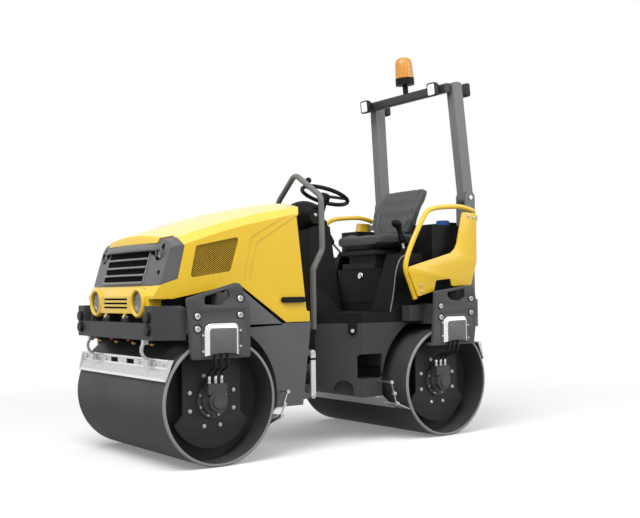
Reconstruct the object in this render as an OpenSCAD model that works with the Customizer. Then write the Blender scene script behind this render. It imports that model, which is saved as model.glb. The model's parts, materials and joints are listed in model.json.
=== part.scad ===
// Tandem road roller with articulated steering, tilting hood and folding roll-over frame.
// Frame: +X forward, +Y to the operator's left, +Z up, origin on the ground midway between the drums.

/* [Drums] */
// Distance between the two drum axles
wheelbase = 1730; // [1690:5:1770]
// Outside diameter of each drum
drum_d = 720; // [704:2:730]
// Length of each drum along its axle
drum_w = 1200; // [1180:2:1204]
// Thickness of the drum shell
drum_wall = 18; // [12:1:22]
// Distance from the drum's end to its head plate
drum_head_inset = 190; // [170:1:230]
// Thickness of the drum head plate
drum_head_t = 16; // [10:1:24]
// Diameter of the stub axle in the fork leg
axle_d = 90; // [60:1:110]

/* [Forks] */
// Gap between the drum's end and the fork's outer plate
fork_gap = 15; // [11:1:25]
// Thickness of the fork's outer plate
fork_t = 22; // [16:1:30]
// Offset of the outer plate from the axle, away from the machine's middle
fork_shift = 40; // [25:1:45]
// Distance from the drum's end in to the fork leg's inner face
leg_inset = 130; // [120:1:145]
// Thickness of the fork leg
leg_t = 25; // [18:1:30]
// Depth of the hose cover on the fork
cover_depth = 22; // [16:1:30]

/* [Frames] */
// Height of the deck plates' underside above the ground
deck_z = 745; // [735:1:755]
// Half width of the front frame's lower box
front_box_y = 500; // [485:1:510]
// Half width of the rear frame's lower box
rear_box_y = 450; // [435:1:465]
// Gap between each drum and the frame's curved wall
drum_gap = 80; // [60:1:95]
// Height of the articulation centre above the ground
pivot_z = 500; // [480:1:520]
// Diameter of the articulation pin
pivot_pin_d = 60; // [45:1:70]
// Diameter of the oscillation trunnion
trunnion_d = 140; // [110:1:150]

/* [Bumpers] */
// Distance from the machine's middle to the outer face of each bumper
bumper_x = 1245; // [1235:1:1250]
// Thickness of the bumper plate
bumper_t = 40; // [25:1:42]
// Half width of the bumper's straight part
bumper_y = 520; // [500:1:540]

/* [Hood] */
// Wall thickness of the hood
hood_wall = 10; // [6:1:14]
// Half width of the hood
hood_y = 478; // [465:1:482]
// Height of the hood's top at its rear edge
hood_rear_z = 1540; // [1500:1:1560]
// Height of the hood's top at its front edge
hood_front_z = 1312; // [1296:1:1330]
// Depth of each grille louvre's opening
louvre_h = 22; // [14:1:28]
// Diameter of a headlight
headlight_d = 130; // [110:1:140]

/* [Platform] */
// Height of the platform floor above the ground
floor_z = 825; // [810:1:840]
// Half width of the platform at the rear
platform_y = 450; // [435:1:460]
// Diameter of the platform handrail's tube
handrail_d = 38; // [30:1:42]
// Height of the platform handrail's top
handrail_top_z = 1775; // [1740:1:1810]
// Diameter of the steering wheel
wheel_d = 350; // [320:2:380]
// Diameter of the guard rail's tube
guard_d = 34; // [26:1:40]
// Distance from the machine's middle to the guard panels' inner face
guard_y = 570; // [560:1:585]

/* [Seat] */
// Half width of the seat cushion
seat_y = 230; // [215:1:240]
// Height of the seat cushion's underside
seat_z = 1250; // [1240:1:1262]

/* [Roll-over frame] */
// Depth of a roll-over post, fore and aft
post_depth = 90; // [80:1:96]
// Width of a roll-over post, across the machine
post_w = 66; // [56:1:70]
// Height of the roll-over frame's hinge pin
rops_pin_z = 1611; // [1590:1:1630]
// Height of the roll-over frame's top
rops_top_z = 2428; // [2380:1:2470]
// Diameter of the beacon's dome
beacon_d = 137; // [110:1:150]

/* [Hidden] */

$fn = 64;
running_gap = 0.3;
moving_gap = 5;
eps = 0.01;

yellow = "#E9B52B";
frame_grey = "#7C8083";
fork_grey = "#4A4D50";
black = "#242527";
silver = "#BFC2C4";
drum_black = "#2E3033";
zinc = "#A9ADAE";
amber = "#E8820E";
lens = "#E9EEF0";
blue = "#1F4FA8";

drum_r = drum_d / 2;
axle_z = drum_r;
axle_x = wheelbase / 2;
drum_inner_r = drum_r - drum_wall;
head_y = drum_w / 2 - drum_head_inset;
fork_y = drum_w / 2 + fork_gap;
leg_y = drum_w / 2 - leg_inset;
deck_t = 15;
arch_r = drum_r + drum_gap;

// Unit vector along v
function unit(v) = v / norm(v);

// Points on an arc about (cx, cy)
function arc(cx, cy, r, a0, a1, n) = [for (i = [0 : n]) [cx + r * cos(a0 + (a1 - a0) * i / n),
                                                         cy + r * sin(a0 + (a1 - a0) * i / n)]];

// A side-view outline carried across from y0 to y1
module plate_xz(points, y0, y1) {
  translate([0, y1, 0])
    rotate([90, 0, 0])
      linear_extrude(y1 - y0)
        polygon(points);
}

// A box between two corners
module box(low, high) {
  translate(low)
    cube(high - low);
}

// A round rod from p to q
module rod(p, q, d) {
  v = q - p;
  translate(p)
    rotate([0, acos(v.z / norm(v)), atan2(v.y, v.x)])
      cylinder(d = d, h = norm(v));
}

// A cylinder along Y from y0 to y1
module cyl_y(x, z, d, y0, y1) {
  translate([x, y1, z])
    rotate([90, 0, 0])
      cylinder(d = d, h = y1 - y0);
}

// A cylinder along X from x0 to x1
module cyl_x(y, z, d, x0, x1) {
  translate([x0, y, z])
    rotate([0, 90, 0])
      cylinder(d = d, h = x1 - x0);
}

// The same piece on the left and on the right
module both_sides() {
  children();
  mirror([0, 1, 0])
    children();
}

// The bend of radius r at corner i of a route, as n + 1 points on its arc
function bend(p, i, r, n) =
  let (a = unit(p[i - 1] - p[i]), b = unit(p[i + 1] - p[i]), half = acos(a * b) / 2,
       c = p[i] + unit(a + b) * r / sin(half), s = p[i] + a * r / tan(half), e = p[i] + b * r / tan(half),
       u = unit(s - c), v = cross(unit(cross(s - c, e - c)), u), sweep = 180 - 2 * half)
  [for (j = [0 : n]) c + r * (cos(sweep * j / n) * u + sin(sweep * j / n) * v)];

// A route with its corners bent
function bent_route(p, r, n) =
  concat([p[0]], [for (i = [1 : len(p) - 2]) each bend(p, i, r, n)], [p[len(p) - 1]]);

// A closed outline with each corner rounded to radius r
function rounded(p, r, n = 4) =
  [for (i = [0 : len(p) - 1])
     let (q = [for (k = [-1 : 1]) let (c = p[(i + k + len(p)) % len(p)]) [c.x, c.y, 0]])
     for (c = bend(q, 1, r, n)) [c.x, c.y]];

// An outline moved along its first axis
function moved(p, dx) = [for (c = p) [c.x + dx, c.y]];

// A round tube along a route, its corners bent to radius r; no stretch runs along the side vector
module bent_tube(p, d, r, side, facets = 16, steps = 6) {
  q = bent_route(p, r, steps);
  last = len(q) - 1;
  ring = [for (i = [0 : last])
            let (t = unit(q[min(i + 1, last)] - q[max(i - 1, 0)]), u = unit(cross(t, side)), v = cross(t, u))
            for (k = [0 : facets - 1])
              q[i] + d / 2 * (cos(360 * k / facets) * u + sin(360 * k / facets) * v)];
  walls = [for (i = [0 : last - 1], k = [0 : facets - 1])
             let (n = (k + 1) % facets)
             [i * facets + k, i * facets + n, (i + 1) * facets + n, (i + 1) * facets + k]];
  ends = [[for (k = [facets - 1 : -1 : 0]) k], [for (k = [0 : facets - 1]) last * facets + k]];
  polyhedron(ring, concat(walls, ends), convexity = 8);
}

// Drums

drum_edge = 8;

// A smooth steel drum with recessed heads and stub axles
module drum(x) {
  half_w = drum_w / 2;
  axle_end = leg_y + leg_t - moving_gap;
  translate([x, 0, axle_z])
    rotate([90, 0, 0]) {
      rotate_extrude($fn = 128)
        polygon([[drum_inner_r, -half_w], [drum_r - drum_edge, -half_w], [drum_r, -half_w + drum_edge],
                 [drum_r, half_w - drum_edge], [drum_r - drum_edge, half_w], [drum_inner_r, half_w]]);
      for (side = [-1, 1])
        mirror([0, 0, side < 0 ? 1 : 0]) {
          translate([0, 0, head_y - drum_head_t])
            cylinder(r = drum_inner_r + eps, h = drum_head_t, $fn = 128);
          translate([0, 0, head_y - drum_head_t])
            cylinder(d = axle_d, h = axle_end - head_y + drum_head_t);
        }
    }
}

module front_drum() {
  color(drum_black)
    drum(axle_x);
}

module rear_drum() {
  color(drum_black)
    drum(-axle_x);
}

// Forks

leg_half = 188;
shelf_z = axle_z + 243;
shelf_t = 20;
leg_foot_r = 270;
fork_low_z = shelf_z;
fork_outer_y = fork_y + fork_t;
fork_bolt_dx = 135;
fork_bolt_z = [[771, 841], [843, 935]];

// The outer plate's outline, about the plate's own middle
fork_outline = [[-185, fork_low_z], [195, fork_low_z], [190, 945], [-112, 1024], [-138, 1010], [-197, 893]];
fork_corner_r = 14;
bolt_recess_d = 50;
bolt_recess_h = 5;
cover_low_z = 636;
cover_outline = rounded([[-146, cover_low_z], [92, cover_low_z], [92, 762], [-40, 806], [-134, 776]], 20);
cover_rim = 14;
cover_rim_t = 5;
cover_rim_outline = rounded([[-146 - cover_rim, cover_low_z + 22], [92 + cover_rim, cover_low_z + 22], [92 + cover_rim, 773],
                             [-42, 821], [-146, 786]], 22);

// The fork leg's outline about the axle: a straight leg over a round foot
module leg_profile() {
  translate([-leg_half, -74])
    square([2 * leg_half, shelf_z - axle_z + 74]);
  intersection() {
    circle(r = leg_foot_r, $fn = 128);
    polygon([[-leg_half, -70], [leg_half, -70], [240, -125], [240, -leg_foot_r], [-240, -leg_foot_r], [-240, -125]]);
  }
}

// The tie-down slot under the plate's sloping top edge
module lashing_slot() {
  intersection() {
    circle(r = 84);
    rotate(-15)
      translate([-90, -46])
        square([180, 76]);
  }
}

// One fork on the left: outer plate, shelf under the drum's rim and leg inside the drum
module fork_left(x, shift) {
  difference() {
    plate_xz(moved(rounded(fork_outline, fork_corner_r), x + shift), fork_y, fork_outer_y);
    translate([x + shift + 8, fork_outer_y + 1, 934])
      rotate([90, 0, 0])
        linear_extrude(fork_t + 2)
          lashing_slot();
    for (i = [0, 1], z = fork_bolt_z[i])
      cyl_y(x + shift + (i == 0 ? fork_bolt_dx : -fork_bolt_dx), z, bolt_recess_d, fork_outer_y - bolt_recess_h,
            fork_outer_y + 1);
  }
  difference() {
    plate_xz(moved(cover_rim_outline, x + shift), fork_outer_y - 1, fork_outer_y + cover_rim_t);
    plate_xz(moved(cover_outline, x + shift), fork_outer_y - 2, fork_outer_y + cover_depth);
    box([x + shift - 130, fork_outer_y - 2, cover_low_z], [x + shift + 76, fork_outer_y + cover_depth, cover_low_z + 60]);
  }
  box([x - leg_half, leg_y, shelf_z], [x + leg_half, fork_outer_y, shelf_z + shelf_t]);
  difference() {
    translate([x, leg_y + leg_t, axle_z])
      rotate([90, 0, 0])
        linear_extrude(leg_t)
          leg_profile();
    cyl_y(x, axle_z, axle_d + 2 * running_gap, leg_y - 1, leg_y + leg_t + 1);
  }
}

module front_forks() {
  color(fork_grey)
    both_sides()
      fork_left(axle_x, fork_shift);
}

module rear_forks() {
  color(fork_grey)
    both_sides()
      fork_left(-axle_x, -fork_shift);
}

cover_wall = 4;
cover_bevel = 9;
cover_face_outline = rounded([[-136, cover_low_z - 20], [82, cover_low_z - 20], [82, 755], [-40, 795], [-126, 769]], 20);
cover_inner_outline = rounded([[-132, cover_low_z - 20], [78, cover_low_z - 20], [78, 752], [-40, 791], [-122, 766]], 18);
cover_foot_r = 420;

// The bright hose cover on the fork's outer face: a bevelled arch, open at its curved foot
module cover_left(x) {
  difference() {
    union() {
      plate_xz(moved(cover_outline, x), fork_outer_y, fork_outer_y + cover_depth - cover_bevel);
      intersection() {
        plate_xz(moved(cover_outline, x), fork_outer_y, fork_outer_y + cover_depth);
        plate_xz(moved(cover_face_outline, x), fork_outer_y, fork_outer_y + cover_depth);
      }
    }
    plate_xz(moved(cover_inner_outline, x), fork_outer_y - 1, fork_outer_y + cover_depth - cover_wall);
    cyl_y(x - 27, cover_low_z + 14 - cover_foot_r, 2 * cover_foot_r, fork_outer_y - 1, fork_outer_y + cover_depth + 1);
  }
}

module front_covers() {
  color(silver)
    both_sides()
      cover_left(axle_x + fork_shift);
}

module rear_covers() {
  color(silver)
    both_sides()
      cover_left(-axle_x - fork_shift);
}

motor_y = leg_y + leg_t;
motor_len = 90;
motor_d = 150;
motor_flange_d = 196;
motor_flange_t = 12;

// The hydraulic drum motor on the leg's outer face, with its port block
module motor_left(x) {
  cyl_y(x, axle_z, motor_flange_d, motor_y, motor_y + motor_flange_t);
  cyl_y(x, axle_z, motor_d, motor_y, motor_y + 40);
  cyl_y(x, axle_z, motor_d * 0.75, motor_y + 40, motor_y + motor_len - motor_flange_t);
  cyl_y(x, axle_z, motor_d * 0.5, motor_y + 40, motor_y + motor_len);
  box([x - 60, motor_y + 10, axle_z + 40], [x + 60, motor_y + 70, axle_z + 100]);
}

module front_motors() {
  color(fork_grey)
    both_sides()
      motor_left(axle_x);
}

module rear_motors() {
  color(fork_grey)
    both_sides()
      motor_left(-axle_x);
}

hose_d = 14;
hose_dx = [-40, 0, 40];
hose_bend = 40;

// Three hoses from the motor's port block up into the cover
module hoses_left(x, shift) {
  hose_y = fork_outer_y + (cover_depth - cover_wall) / 2;
  for (dx = hose_dx)
    bent_tube([[x + dx, motor_y + 40, axle_z + 100], [x + dx, motor_y + 40, axle_z + 165],
               [x + dx + shift / 2, hose_y, shelf_z - 45], [x + dx + shift / 2, hose_y, cover_low_z + 60]],
              hose_d, hose_bend, [1, 0, 0], 8, 4);
}

module front_hoses() {
  color(black)
    both_sides()
      hoses_left(axle_x, fork_shift);
}

module rear_hoses() {
  color(black)
    both_sides()
      hoses_left(-axle_x, -fork_shift);
}

// Frames

arm_half = 42;
arm_cap = 35;
frame_side_y = 420;

// The two arms that carry a fork plate, on the left
module fork_arms_left(x) {
  for (i = [0, 1]) {
    arm_x = x + (i == 0 ? fork_bolt_dx : -fork_bolt_dx);
    box([arm_x - arm_half, frame_side_y - rail_t, max(deck_z, fork_bolt_z[i][0] - 40)],
        [arm_x + arm_half, fork_y, fork_bolt_z[i][1] + arm_cap]);
  }
}

lock_x = 168;
lock_lug = 34;
lock_bar_z = [335, 595];
lock_bar_t = 14;
front_wall_top_x = 172;
front_wall_low_x = 238;
box_low_z = 285;
front_top_z = 780;
front_rail_z = 848;
trunnion_len = 190;
boss_x = 185;
boss_d = 240;

// Side outline of the box between the drum and the articulation, curved round the drum
function box_outline(top_x, low_x, top_z) =
  concat([[top_x, top_z], [low_x, box_low_z]],
         arc(axle_x, axle_z, arch_r, 180 + asin((axle_z - box_low_z) / arch_r), 180 - asin((deck_z - axle_z) / arch_r), 24),
         [[axle_x - arch_r * cos(asin((deck_z - axle_z) / arch_r)), top_z]]);

module front_frame() {
  color(frame_grey)
    difference() {
      union() {
        plate_xz(box_outline(front_wall_top_x, front_wall_low_x, front_top_z), -front_box_y, front_box_y);
        box([front_wall_top_x + 60, -frame_side_y, deck_z], [bumper_x - bumper_t, frame_side_y, deck_z + deck_t]);
        both_sides() {
          box([front_wall_top_x + 60, frame_side_y - rail_t, deck_z], [bumper_x - bumper_t, frame_side_y, front_rail_z]);
          fork_arms_left(axle_x + fork_shift);
          for (z = lock_bar_z)
            box([lock_x - lock_lug / 2, front_box_y - 30, z - lock_lug / 2],
                [front_wall_low_x + 20, front_box_y, z + lock_lug / 2]);
        }
        cyl_x(0, pivot_z, boss_d, boss_x, boss_x + 100);
      }
      cyl_x(0, pivot_z, trunnion_d + 2 * running_gap, boss_x - 1, boss_x + trunnion_len);
    }
}

rear_nose_x = -36;
rear_corner_x = -265;
nose_y = 250;
ear_r = 95;
mouth_low_z = pivot_z - 100;
mouth_high_z = pivot_z + 100;
mouth_back_x = -440;
ear_low_z = mouth_low_z - 35;
ear_high_z = mouth_high_z + 35;
side_wall_t = 22;
rear_top_z = 760;
rear_end_x = -(bumper_x - bumper_t);
rail_t = 20;
rail_top_z = 870;
post_foot_x = -1150;
post_foot_z = 905;
pin_end = 20;
side_beam_x = [-831, -608];
side_beam_y = 525;
side_beam_z = [766, 868];
barrel_pin_d = 36;
barrel_pin_len = 230;

// Plan outline of the rear frame's box, tapering towards the articulation
module rear_plan(inset, nose_x) {
  polygon([[-700, -rear_box_y + inset], [rear_corner_x - inset / 2, -rear_box_y + inset], [nose_x, -nose_y + inset],
           [nose_x, nose_y - inset], [rear_corner_x - inset / 2, rear_box_y - inset], [-700, rear_box_y - inset]]);
}

taper_angle = atan2(nose_y - rear_box_y, rear_nose_x - rear_corner_x);
arch_way = 0.41;
arch_half = 65;
arch_depth = 60;
arch_mid_z = mouth_low_z - 6 - arch_half;

// The arched opening low in each tapering wall and the window round each corner of the articulation's mouth
module mouth_windows() {
  both_sides() {
    translate([rear_corner_x + arch_way * (rear_nose_x - rear_corner_x), rear_box_y + arch_way * (nose_y - rear_box_y), 0])
      rotate([0, 0, taper_angle]) {
        cyl_y(0, arch_mid_z, 2 * arch_half, -arch_depth, arch_depth);
        box([-arch_half, -arch_depth, 0], [arch_half, arch_depth, arch_mid_z]);
      }
    plate_xz(rounded([[mouth_back_x + 10, mouth_low_z], [rear_corner_x + 25, mouth_low_z],
                      [rear_corner_x + 25, mouth_high_z - 40], [mouth_back_x + 10, mouth_high_z - 40]], 18),
             rear_box_y - 50, rear_box_y + 1);
  }
}

module rear_frame() {
  ear_t = ear_high_z - mouth_high_z;
  color(frame_grey)
    difference() {
      union() {
        intersection() {
          mirror([1, 0, 0])
            plate_xz(concat([[-rear_nose_x, rear_top_z], [-rear_nose_x, ear_low_z], [-rear_corner_x, box_low_z]],
                            arc(axle_x, axle_z, arch_r, 180 + asin((axle_z - box_low_z) / arch_r),
                                180 - asin((deck_z - axle_z) / arch_r), 24),
                            [[axle_x - arch_r * cos(asin((deck_z - axle_z) / arch_r)), rear_top_z]]),
                     -rear_box_y, rear_box_y);
          translate([0, 0, box_low_z - 1])
            linear_extrude(rear_top_z)
              rear_plan(0, rear_nose_x);
        }
        for (z = [ear_low_z, mouth_high_z])
          translate([0, 0, z]) {
            cylinder(r = ear_r, h = ear_t);
            box([rear_nose_x - 40, -ear_r, 0], [0, ear_r, ear_t]);
          }
        box([rear_end_x, -frame_side_y, deck_z], [pedestal_x, frame_side_y, deck_z + deck_t]);
        both_sides() {
          box([rear_end_x, frame_side_y - rail_t, deck_z], [pedestal_x, frame_side_y, rail_top_z]);
          box([rear_end_x, frame_side_y - rail_t, deck_z], [post_foot_x, rops_y + post_w / 2, post_foot_z]);
          fork_arms_left(-axle_x - fork_shift);
          box([side_beam_x[0], frame_side_y - rail_t, side_beam_z[0]], [side_beam_x[1], side_beam_y, side_beam_z[1]]);
        }
      }
      translate([0, 0, mouth_low_z])
        linear_extrude(mouth_high_z - mouth_low_z)
          intersection() {
            rear_plan(side_wall_t, rear_nose_x + 1);
            translate([mouth_back_x, -rear_box_y])
              square([rear_nose_x + 2 - mouth_back_x, 2 * rear_box_y]);
          }
      mouth_windows();
      translate([0, 0, ear_low_z - 1])
        cylinder(d = pivot_pin_d + 2 * running_gap, h = ear_high_z - ear_low_z + 2);
      translate([barrel_pin.x, barrel_pin.y, pivot_z - barrel_pin_len / 2 - 1])
        cylinder(d = barrel_pin_d + 2 * running_gap, h = barrel_pin_len + 2);
    }
}

// The articulation pin and the roll-over frame's hinge pins
module hinge_pins() {
  color(zinc) {
    translate([0, 0, ear_low_z - pin_end])
      cylinder(d = pivot_pin_d, h = ear_high_z - ear_low_z + 2 * pin_end);
    both_sides()
      cyl_y(rops_pin_x, rops_pin_z, rops_pin_d, rops_pin_y0, rops_pin_y1);
  }
}

hub_r = 68;
flange_d = 220;
flange_x = 160;
steer_arm_r = 120;
steer_arm_a = -60;
steer_arm_t = 24;
rod_eye_d = 60;
rod_eye_pin_d = 26;
steer_eye = [steer_arm_r * cos(steer_arm_a), steer_arm_r * sin(steer_arm_a), pivot_z];
barrel_pin = [-345, -150, pivot_z];

// The knuckle between the ears, with its steering arm and the trunnion for the front frame
module knuckle() {
  color(frame_grey)
    difference() {
      union() {
        translate([0, 0, mouth_low_z + moving_gap])
          cylinder(r = hub_r, h = mouth_high_z - mouth_low_z - 2 * moving_gap);
        cyl_x(0, pivot_z, trunnion_d, 0, boss_x + trunnion_len - moving_gap);
        cyl_x(0, pivot_z, flange_d, flange_x, boss_x - moving_gap);
        for (dz = [-45 - steer_arm_t, 45])
          translate([0, 0, pivot_z + dz]) {
            translate([steer_eye.x, steer_eye.y, 0])
              cylinder(d = rod_eye_d, h = steer_arm_t);
            rotate([0, 0, steer_arm_a])
              translate([0, -rod_eye_d / 2, 0])
                cube([steer_arm_r, rod_eye_d, steer_arm_t]);
          }
      }
      translate([0, 0, mouth_low_z])
        cylinder(d = pivot_pin_d + 2 * running_gap, h = mouth_high_z - mouth_low_z);
    }
}

barrel_d = 64;
rod_d = 30;
steer_dir = unit(steer_eye - barrel_pin);
barrel_end = barrel_pin + steer_dir * 225;
rod_tail = barrel_pin + steer_dir * 130;

// The steering cylinder's barrel, pinned in the rear frame's mouth
module steer_barrel() {
  color(black)
    difference() {
      union() {
        rod(barrel_pin, barrel_end, barrel_d);
        translate(barrel_pin - [0, 0, barrel_pin_len / 2])
          cylinder(d = barrel_pin_d, h = barrel_pin_len);
        translate(barrel_pin - [0, 0, 34])
          cylinder(d = barrel_d, h = 68);
      }
      rod(barrel_pin + steer_dir * 36, barrel_end + steer_dir, rod_d + 2 * running_gap);
    }
}

// The steering cylinder's rod, ending in the eye between the knuckle's arms
module steer_rod() {
  color(zinc)
    difference() {
      union() {
        rod(rod_tail, steer_eye, rod_d);
        translate(steer_eye - [0, 0, 35])
          cylinder(d = 52, h = 70);
      }
      translate(steer_eye - [0, 0, 36])
        cylinder(d = rod_eye_pin_d, h = 72);
    }
}

// Bumpers

bumper_low_z = 713;
bumper_mid_z = 805;
bumper_end_z = 900;
bumper_notch_y = 425;
chamfer_x = 120;
chamfer_y = 90;

// Plan outline of a bumper bent back at both ends
function bumper_plan() = [
  [bumper_x, -bumper_y], [bumper_x, bumper_y], [bumper_x - chamfer_x, bumper_y + chamfer_y],
  [bumper_x - chamfer_x - bumper_t, bumper_y + chamfer_y], [bumper_x - bumper_t, bumper_y - 15],
  [bumper_x - bumper_t, -bumper_y + 15], [bumper_x - chamfer_x - bumper_t, -bumper_y - chamfer_y],
  [bumper_x - chamfer_x, -bumper_y - chamfer_y]];

bumper_corner_r = 26;

// A bumper beam with its upper corners rounded where it bends back
module bumper_beam() {
  end_y = bumper_y + chamfer_y;
  intersection() {
    translate([0, 0, bumper_low_z])
      linear_extrude(bumper_end_z - bumper_low_z)
        polygon(bumper_plan());
    rotate([90, 0, 90])
      linear_extrude(bumper_x + 1)
        polygon(concat([[-end_y, bumper_low_z], [end_y, bumper_low_z]],
                       arc(end_y - bumper_corner_r, bumper_end_z - bumper_corner_r, bumper_corner_r, 0, 90, 6),
                       arc(bumper_corner_r - end_y, bumper_end_z - bumper_corner_r, bumper_corner_r, 90, 180, 6)));
  }
}

buffer_d = 62;
buffer_h = 20;
buffer_y = 470;
buffer_z = [767, 835];
buffer_profile = [[0, 0], [buffer_d / 2, 0], [buffer_d / 2, 6], [buffer_d / 2 - 4, 8], [buffer_d / 2 - 4, 11],
                  [buffer_d / 2, 13], [buffer_d / 2, 16], [buffer_d / 2 - 6, buffer_h], [0, buffer_h]];

// The ribbed rubber buffers on the front bumper's outer face
module buffers() {
  both_sides()
    for (z = buffer_z)
      translate([bumper_x, buffer_y, z])
        rotate([0, 90, 0])
          rotate_extrude()
            polygon(buffer_profile);
}

module front_buffers() {
  color(black)
    buffers();
}

module rear_buffers() {
  color(black)
    mirror([1, 0, 0])
      buffers();
}

hinge_x = bumper_x - 21;
hinge_z = 836;
hinge_y = 130;
hinge_pin_d = 14;
hinge_r = 13;
hinge_ear_t = 10;
hinge_tab_t = 24;

module front_bumper() {
  color(frame_grey)
    difference() {
      union() {
        difference() {
          bumper_beam();
          box([bumper_x - bumper_t - 1, -bumper_notch_y, bumper_mid_z], [bumper_x + 1, bumper_notch_y, bumper_end_z + 1]);
        }
        for (side = [-1, 1], ear = [-1, 1]) {
          y = side * hinge_y + ear * (hinge_tab_t / 2 + 1 + hinge_ear_t / 2);
          cyl_y(hinge_x, hinge_z, 2 * hinge_r, y - hinge_ear_t / 2, y + hinge_ear_t / 2);
          box([hinge_x - hinge_r, y - hinge_ear_t / 2, bumper_mid_z - 1],
              [hinge_x + hinge_r, y + hinge_ear_t / 2, hinge_z]);
        }
      }
      for (side = [-1, 1])
        cyl_y(hinge_x, hinge_z, hinge_pin_d + 2 * running_gap, side * hinge_y - 40, side * hinge_y + 40);
    }
}

module hood_hinge_pins() {
  color(zinc)
    for (side = [-1, 1])
      cyl_y(hinge_x, hinge_z, hinge_pin_d, side * hinge_y - 26, side * hinge_y + 26);
}

module rear_bumper() {
  color(frame_grey)
    mirror([1, 0, 0])
      bumper_beam();
}

// Hood

hood_rear_x = 196;
hood_nose_x = 1232;
hood_nose_z = 856;
hood_nose_y = 405;
hood_step_z = 938;
hood_bulge = 25;
hood_crown_r = 2020;
shoulder = 46;
plan_bow_r = 3600;
bow_x = hood_nose_x - plan_bow_r;
taper_x = 1000;
taper = 0.12;
brow_x = [1198, 1112];

// Centre and radius of the arc that the hood's top follows, from its rear and front heights
hood_a = [hood_rear_x, hood_rear_z];
hood_b = [1100, hood_front_z];
hood_chord = norm(hood_b - hood_a);
hood_r = hood_chord * hood_chord / (8 * hood_bulge) + hood_bulge / 2;
hood_dir = unit(hood_b - hood_a);
hood_c = (hood_a + hood_b) / 2 + [hood_dir.y, -hood_dir.x] * (hood_r - hood_bulge);

// Cross-section through the hood, crowned with flat shoulders, as radius from the arc's centre and width
function hood_section(inset) =
  let (w = hood_y - inset, top = hood_r - inset, s = shoulder - inset * (2 - sqrt(2)), flat = w - s,
       drop = hood_crown_r - sqrt(hood_crown_r * hood_crown_r - flat * flat))
  concat([for (i = [-12 : 12]) let (y = flat * i / 12)
            [top - hood_crown_r + sqrt(hood_crown_r * hood_crown_r - y * y), y]],
         [[top - drop - s, w], [hood_r - 1000, w], [hood_r - 1000, -w], [top - drop - s, -w]]);

// Side outline of the hood; the inner one runs out below so that the hood is open underneath
function hood_side(inset, low) = [
  [165 + inset, 785 - low], [338, 785 - low], [655 + inset, 1008 - low], [680, 1020 - low], [1130, 930 - low],
  [1140, hood_nose_z - low], [1400, hood_nose_z - low], [1400, 1700], [196 + inset, 1700], [196 + inset, 1516],
  [250 + inset, 1425], [185 + inset, 851], [165 + inset, 848]];

// Profile of the hood's front on the middle line, leaning back above the headlights
function hood_front(inset) = [
  [hood_nose_x - inset, 600], [hood_nose_x - inset, 955], [brow_x[0] - inset, grille_low_z],
  [brow_x[1] - inset, hood_front_z - 15], [1040 - inset, 1700]];

// Plan outline of the hood, its sides drawn in towards the grille's corners
function hood_plan(inset) =
  let (w = hood_y - inset, wide = w + 40 * taper, nose = w - (1400 - taper_x) * taper)
  [[0, -wide], [taper_x - 40, -wide], [1400, -nose], [1400, nose], [taper_x - 40, wide], [0, wide]];

// A front-view profile swept to the half width y along the bow of the hood's front
module bowed(points, y) {
  sweep = asin(y / (min([for (p = points) p.x]) - bow_x));
  translate([bow_x, 0, 0])
    rotate([0, 0, -sweep])
      rotate_extrude(angle = 2 * sweep, $fn = 360)
        polygon(moved(points, -bow_x));
}

// The hood's outer form, or its inner one set in by the wall
module hood_form(inset, low) {
  difference() {
    intersection() {
      translate([hood_c.x, 0, hood_c.y])
        rotate([90, 0, 0])
          rotate([0, 0, 60])
            rotate_extrude(angle = 45, $fn = 360)
              polygon(hood_section(inset));
      plate_xz(hood_side(inset, low), -600, 600);
      bowed(concat([[0, 600]], hood_front(inset), [[0, 1700]]), 600);
      linear_extrude(1700)
        polygon(hood_plan(inset));
    }
    both_sides()
      box([1100, hood_nose_y - inset, 700], [1400, 600, hood_step_z + inset]);
  }
}

module hood_shell() {
  difference() {
    hood_form(0, 0);
    hood_form(hood_wall, 60);
  }
}

grille_low_z = 1011;
grille_gap = 0.5;
grille_side = [[1300, grille_low_z], [1180, grille_low_z], [1062, 1049], [1020, 1232], [1052, hood_front_z - 6],
               [1060, 1500], [1300, 1500]];
louvre_z = [1050, 1091, 1132, 1173];
louvre_top_z = 1222;
louvre_depth = 42;
louvre_y = 268;
marker_y = 372;
marker_z = 1190;
marker_d = 56;
marker_cup_d = 76;
vent_d = 30;
headlight_y = 290;
headlight_z = 918;
lamp_ring_d = 172;
lamp_ring_x = 1196;
slot_z = [884, 908, 932];
slot_y = 165;
slot_h = 11;
mesh_outline = rounded([[987, 1054], [723, 1092], [662, 1294], [947, 1236]], 16);
panel_step = 3;
panel_border = [[582, 1292], [637, 1036], [338, 838], [100, 838], [100, 1470], [260, 1470]];
panel_outline = [[543, 1262], [597, 1050], [326, 866], [100, 866], [100, 1430], [260, 1430]];

// The grille's front on the middle line at height z
function grille_x(z) = brow_x[0] + (brow_x[1] - brow_x[0]) * (z - grille_low_z) / (hood_front_z - 15 - grille_low_z);

// The raised ring round a headlight, along X
module lamp_ring() {
  r = headlight_d / 2;
  w = lamp_ring_d / 2;
  rotate([0, 90, 0])
    rotate_extrude()
      polygon([[r, 0], [w, 0], [w, 28], [w - 8, 36], [r + 4, 36], [r, 32]]);
}

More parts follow.
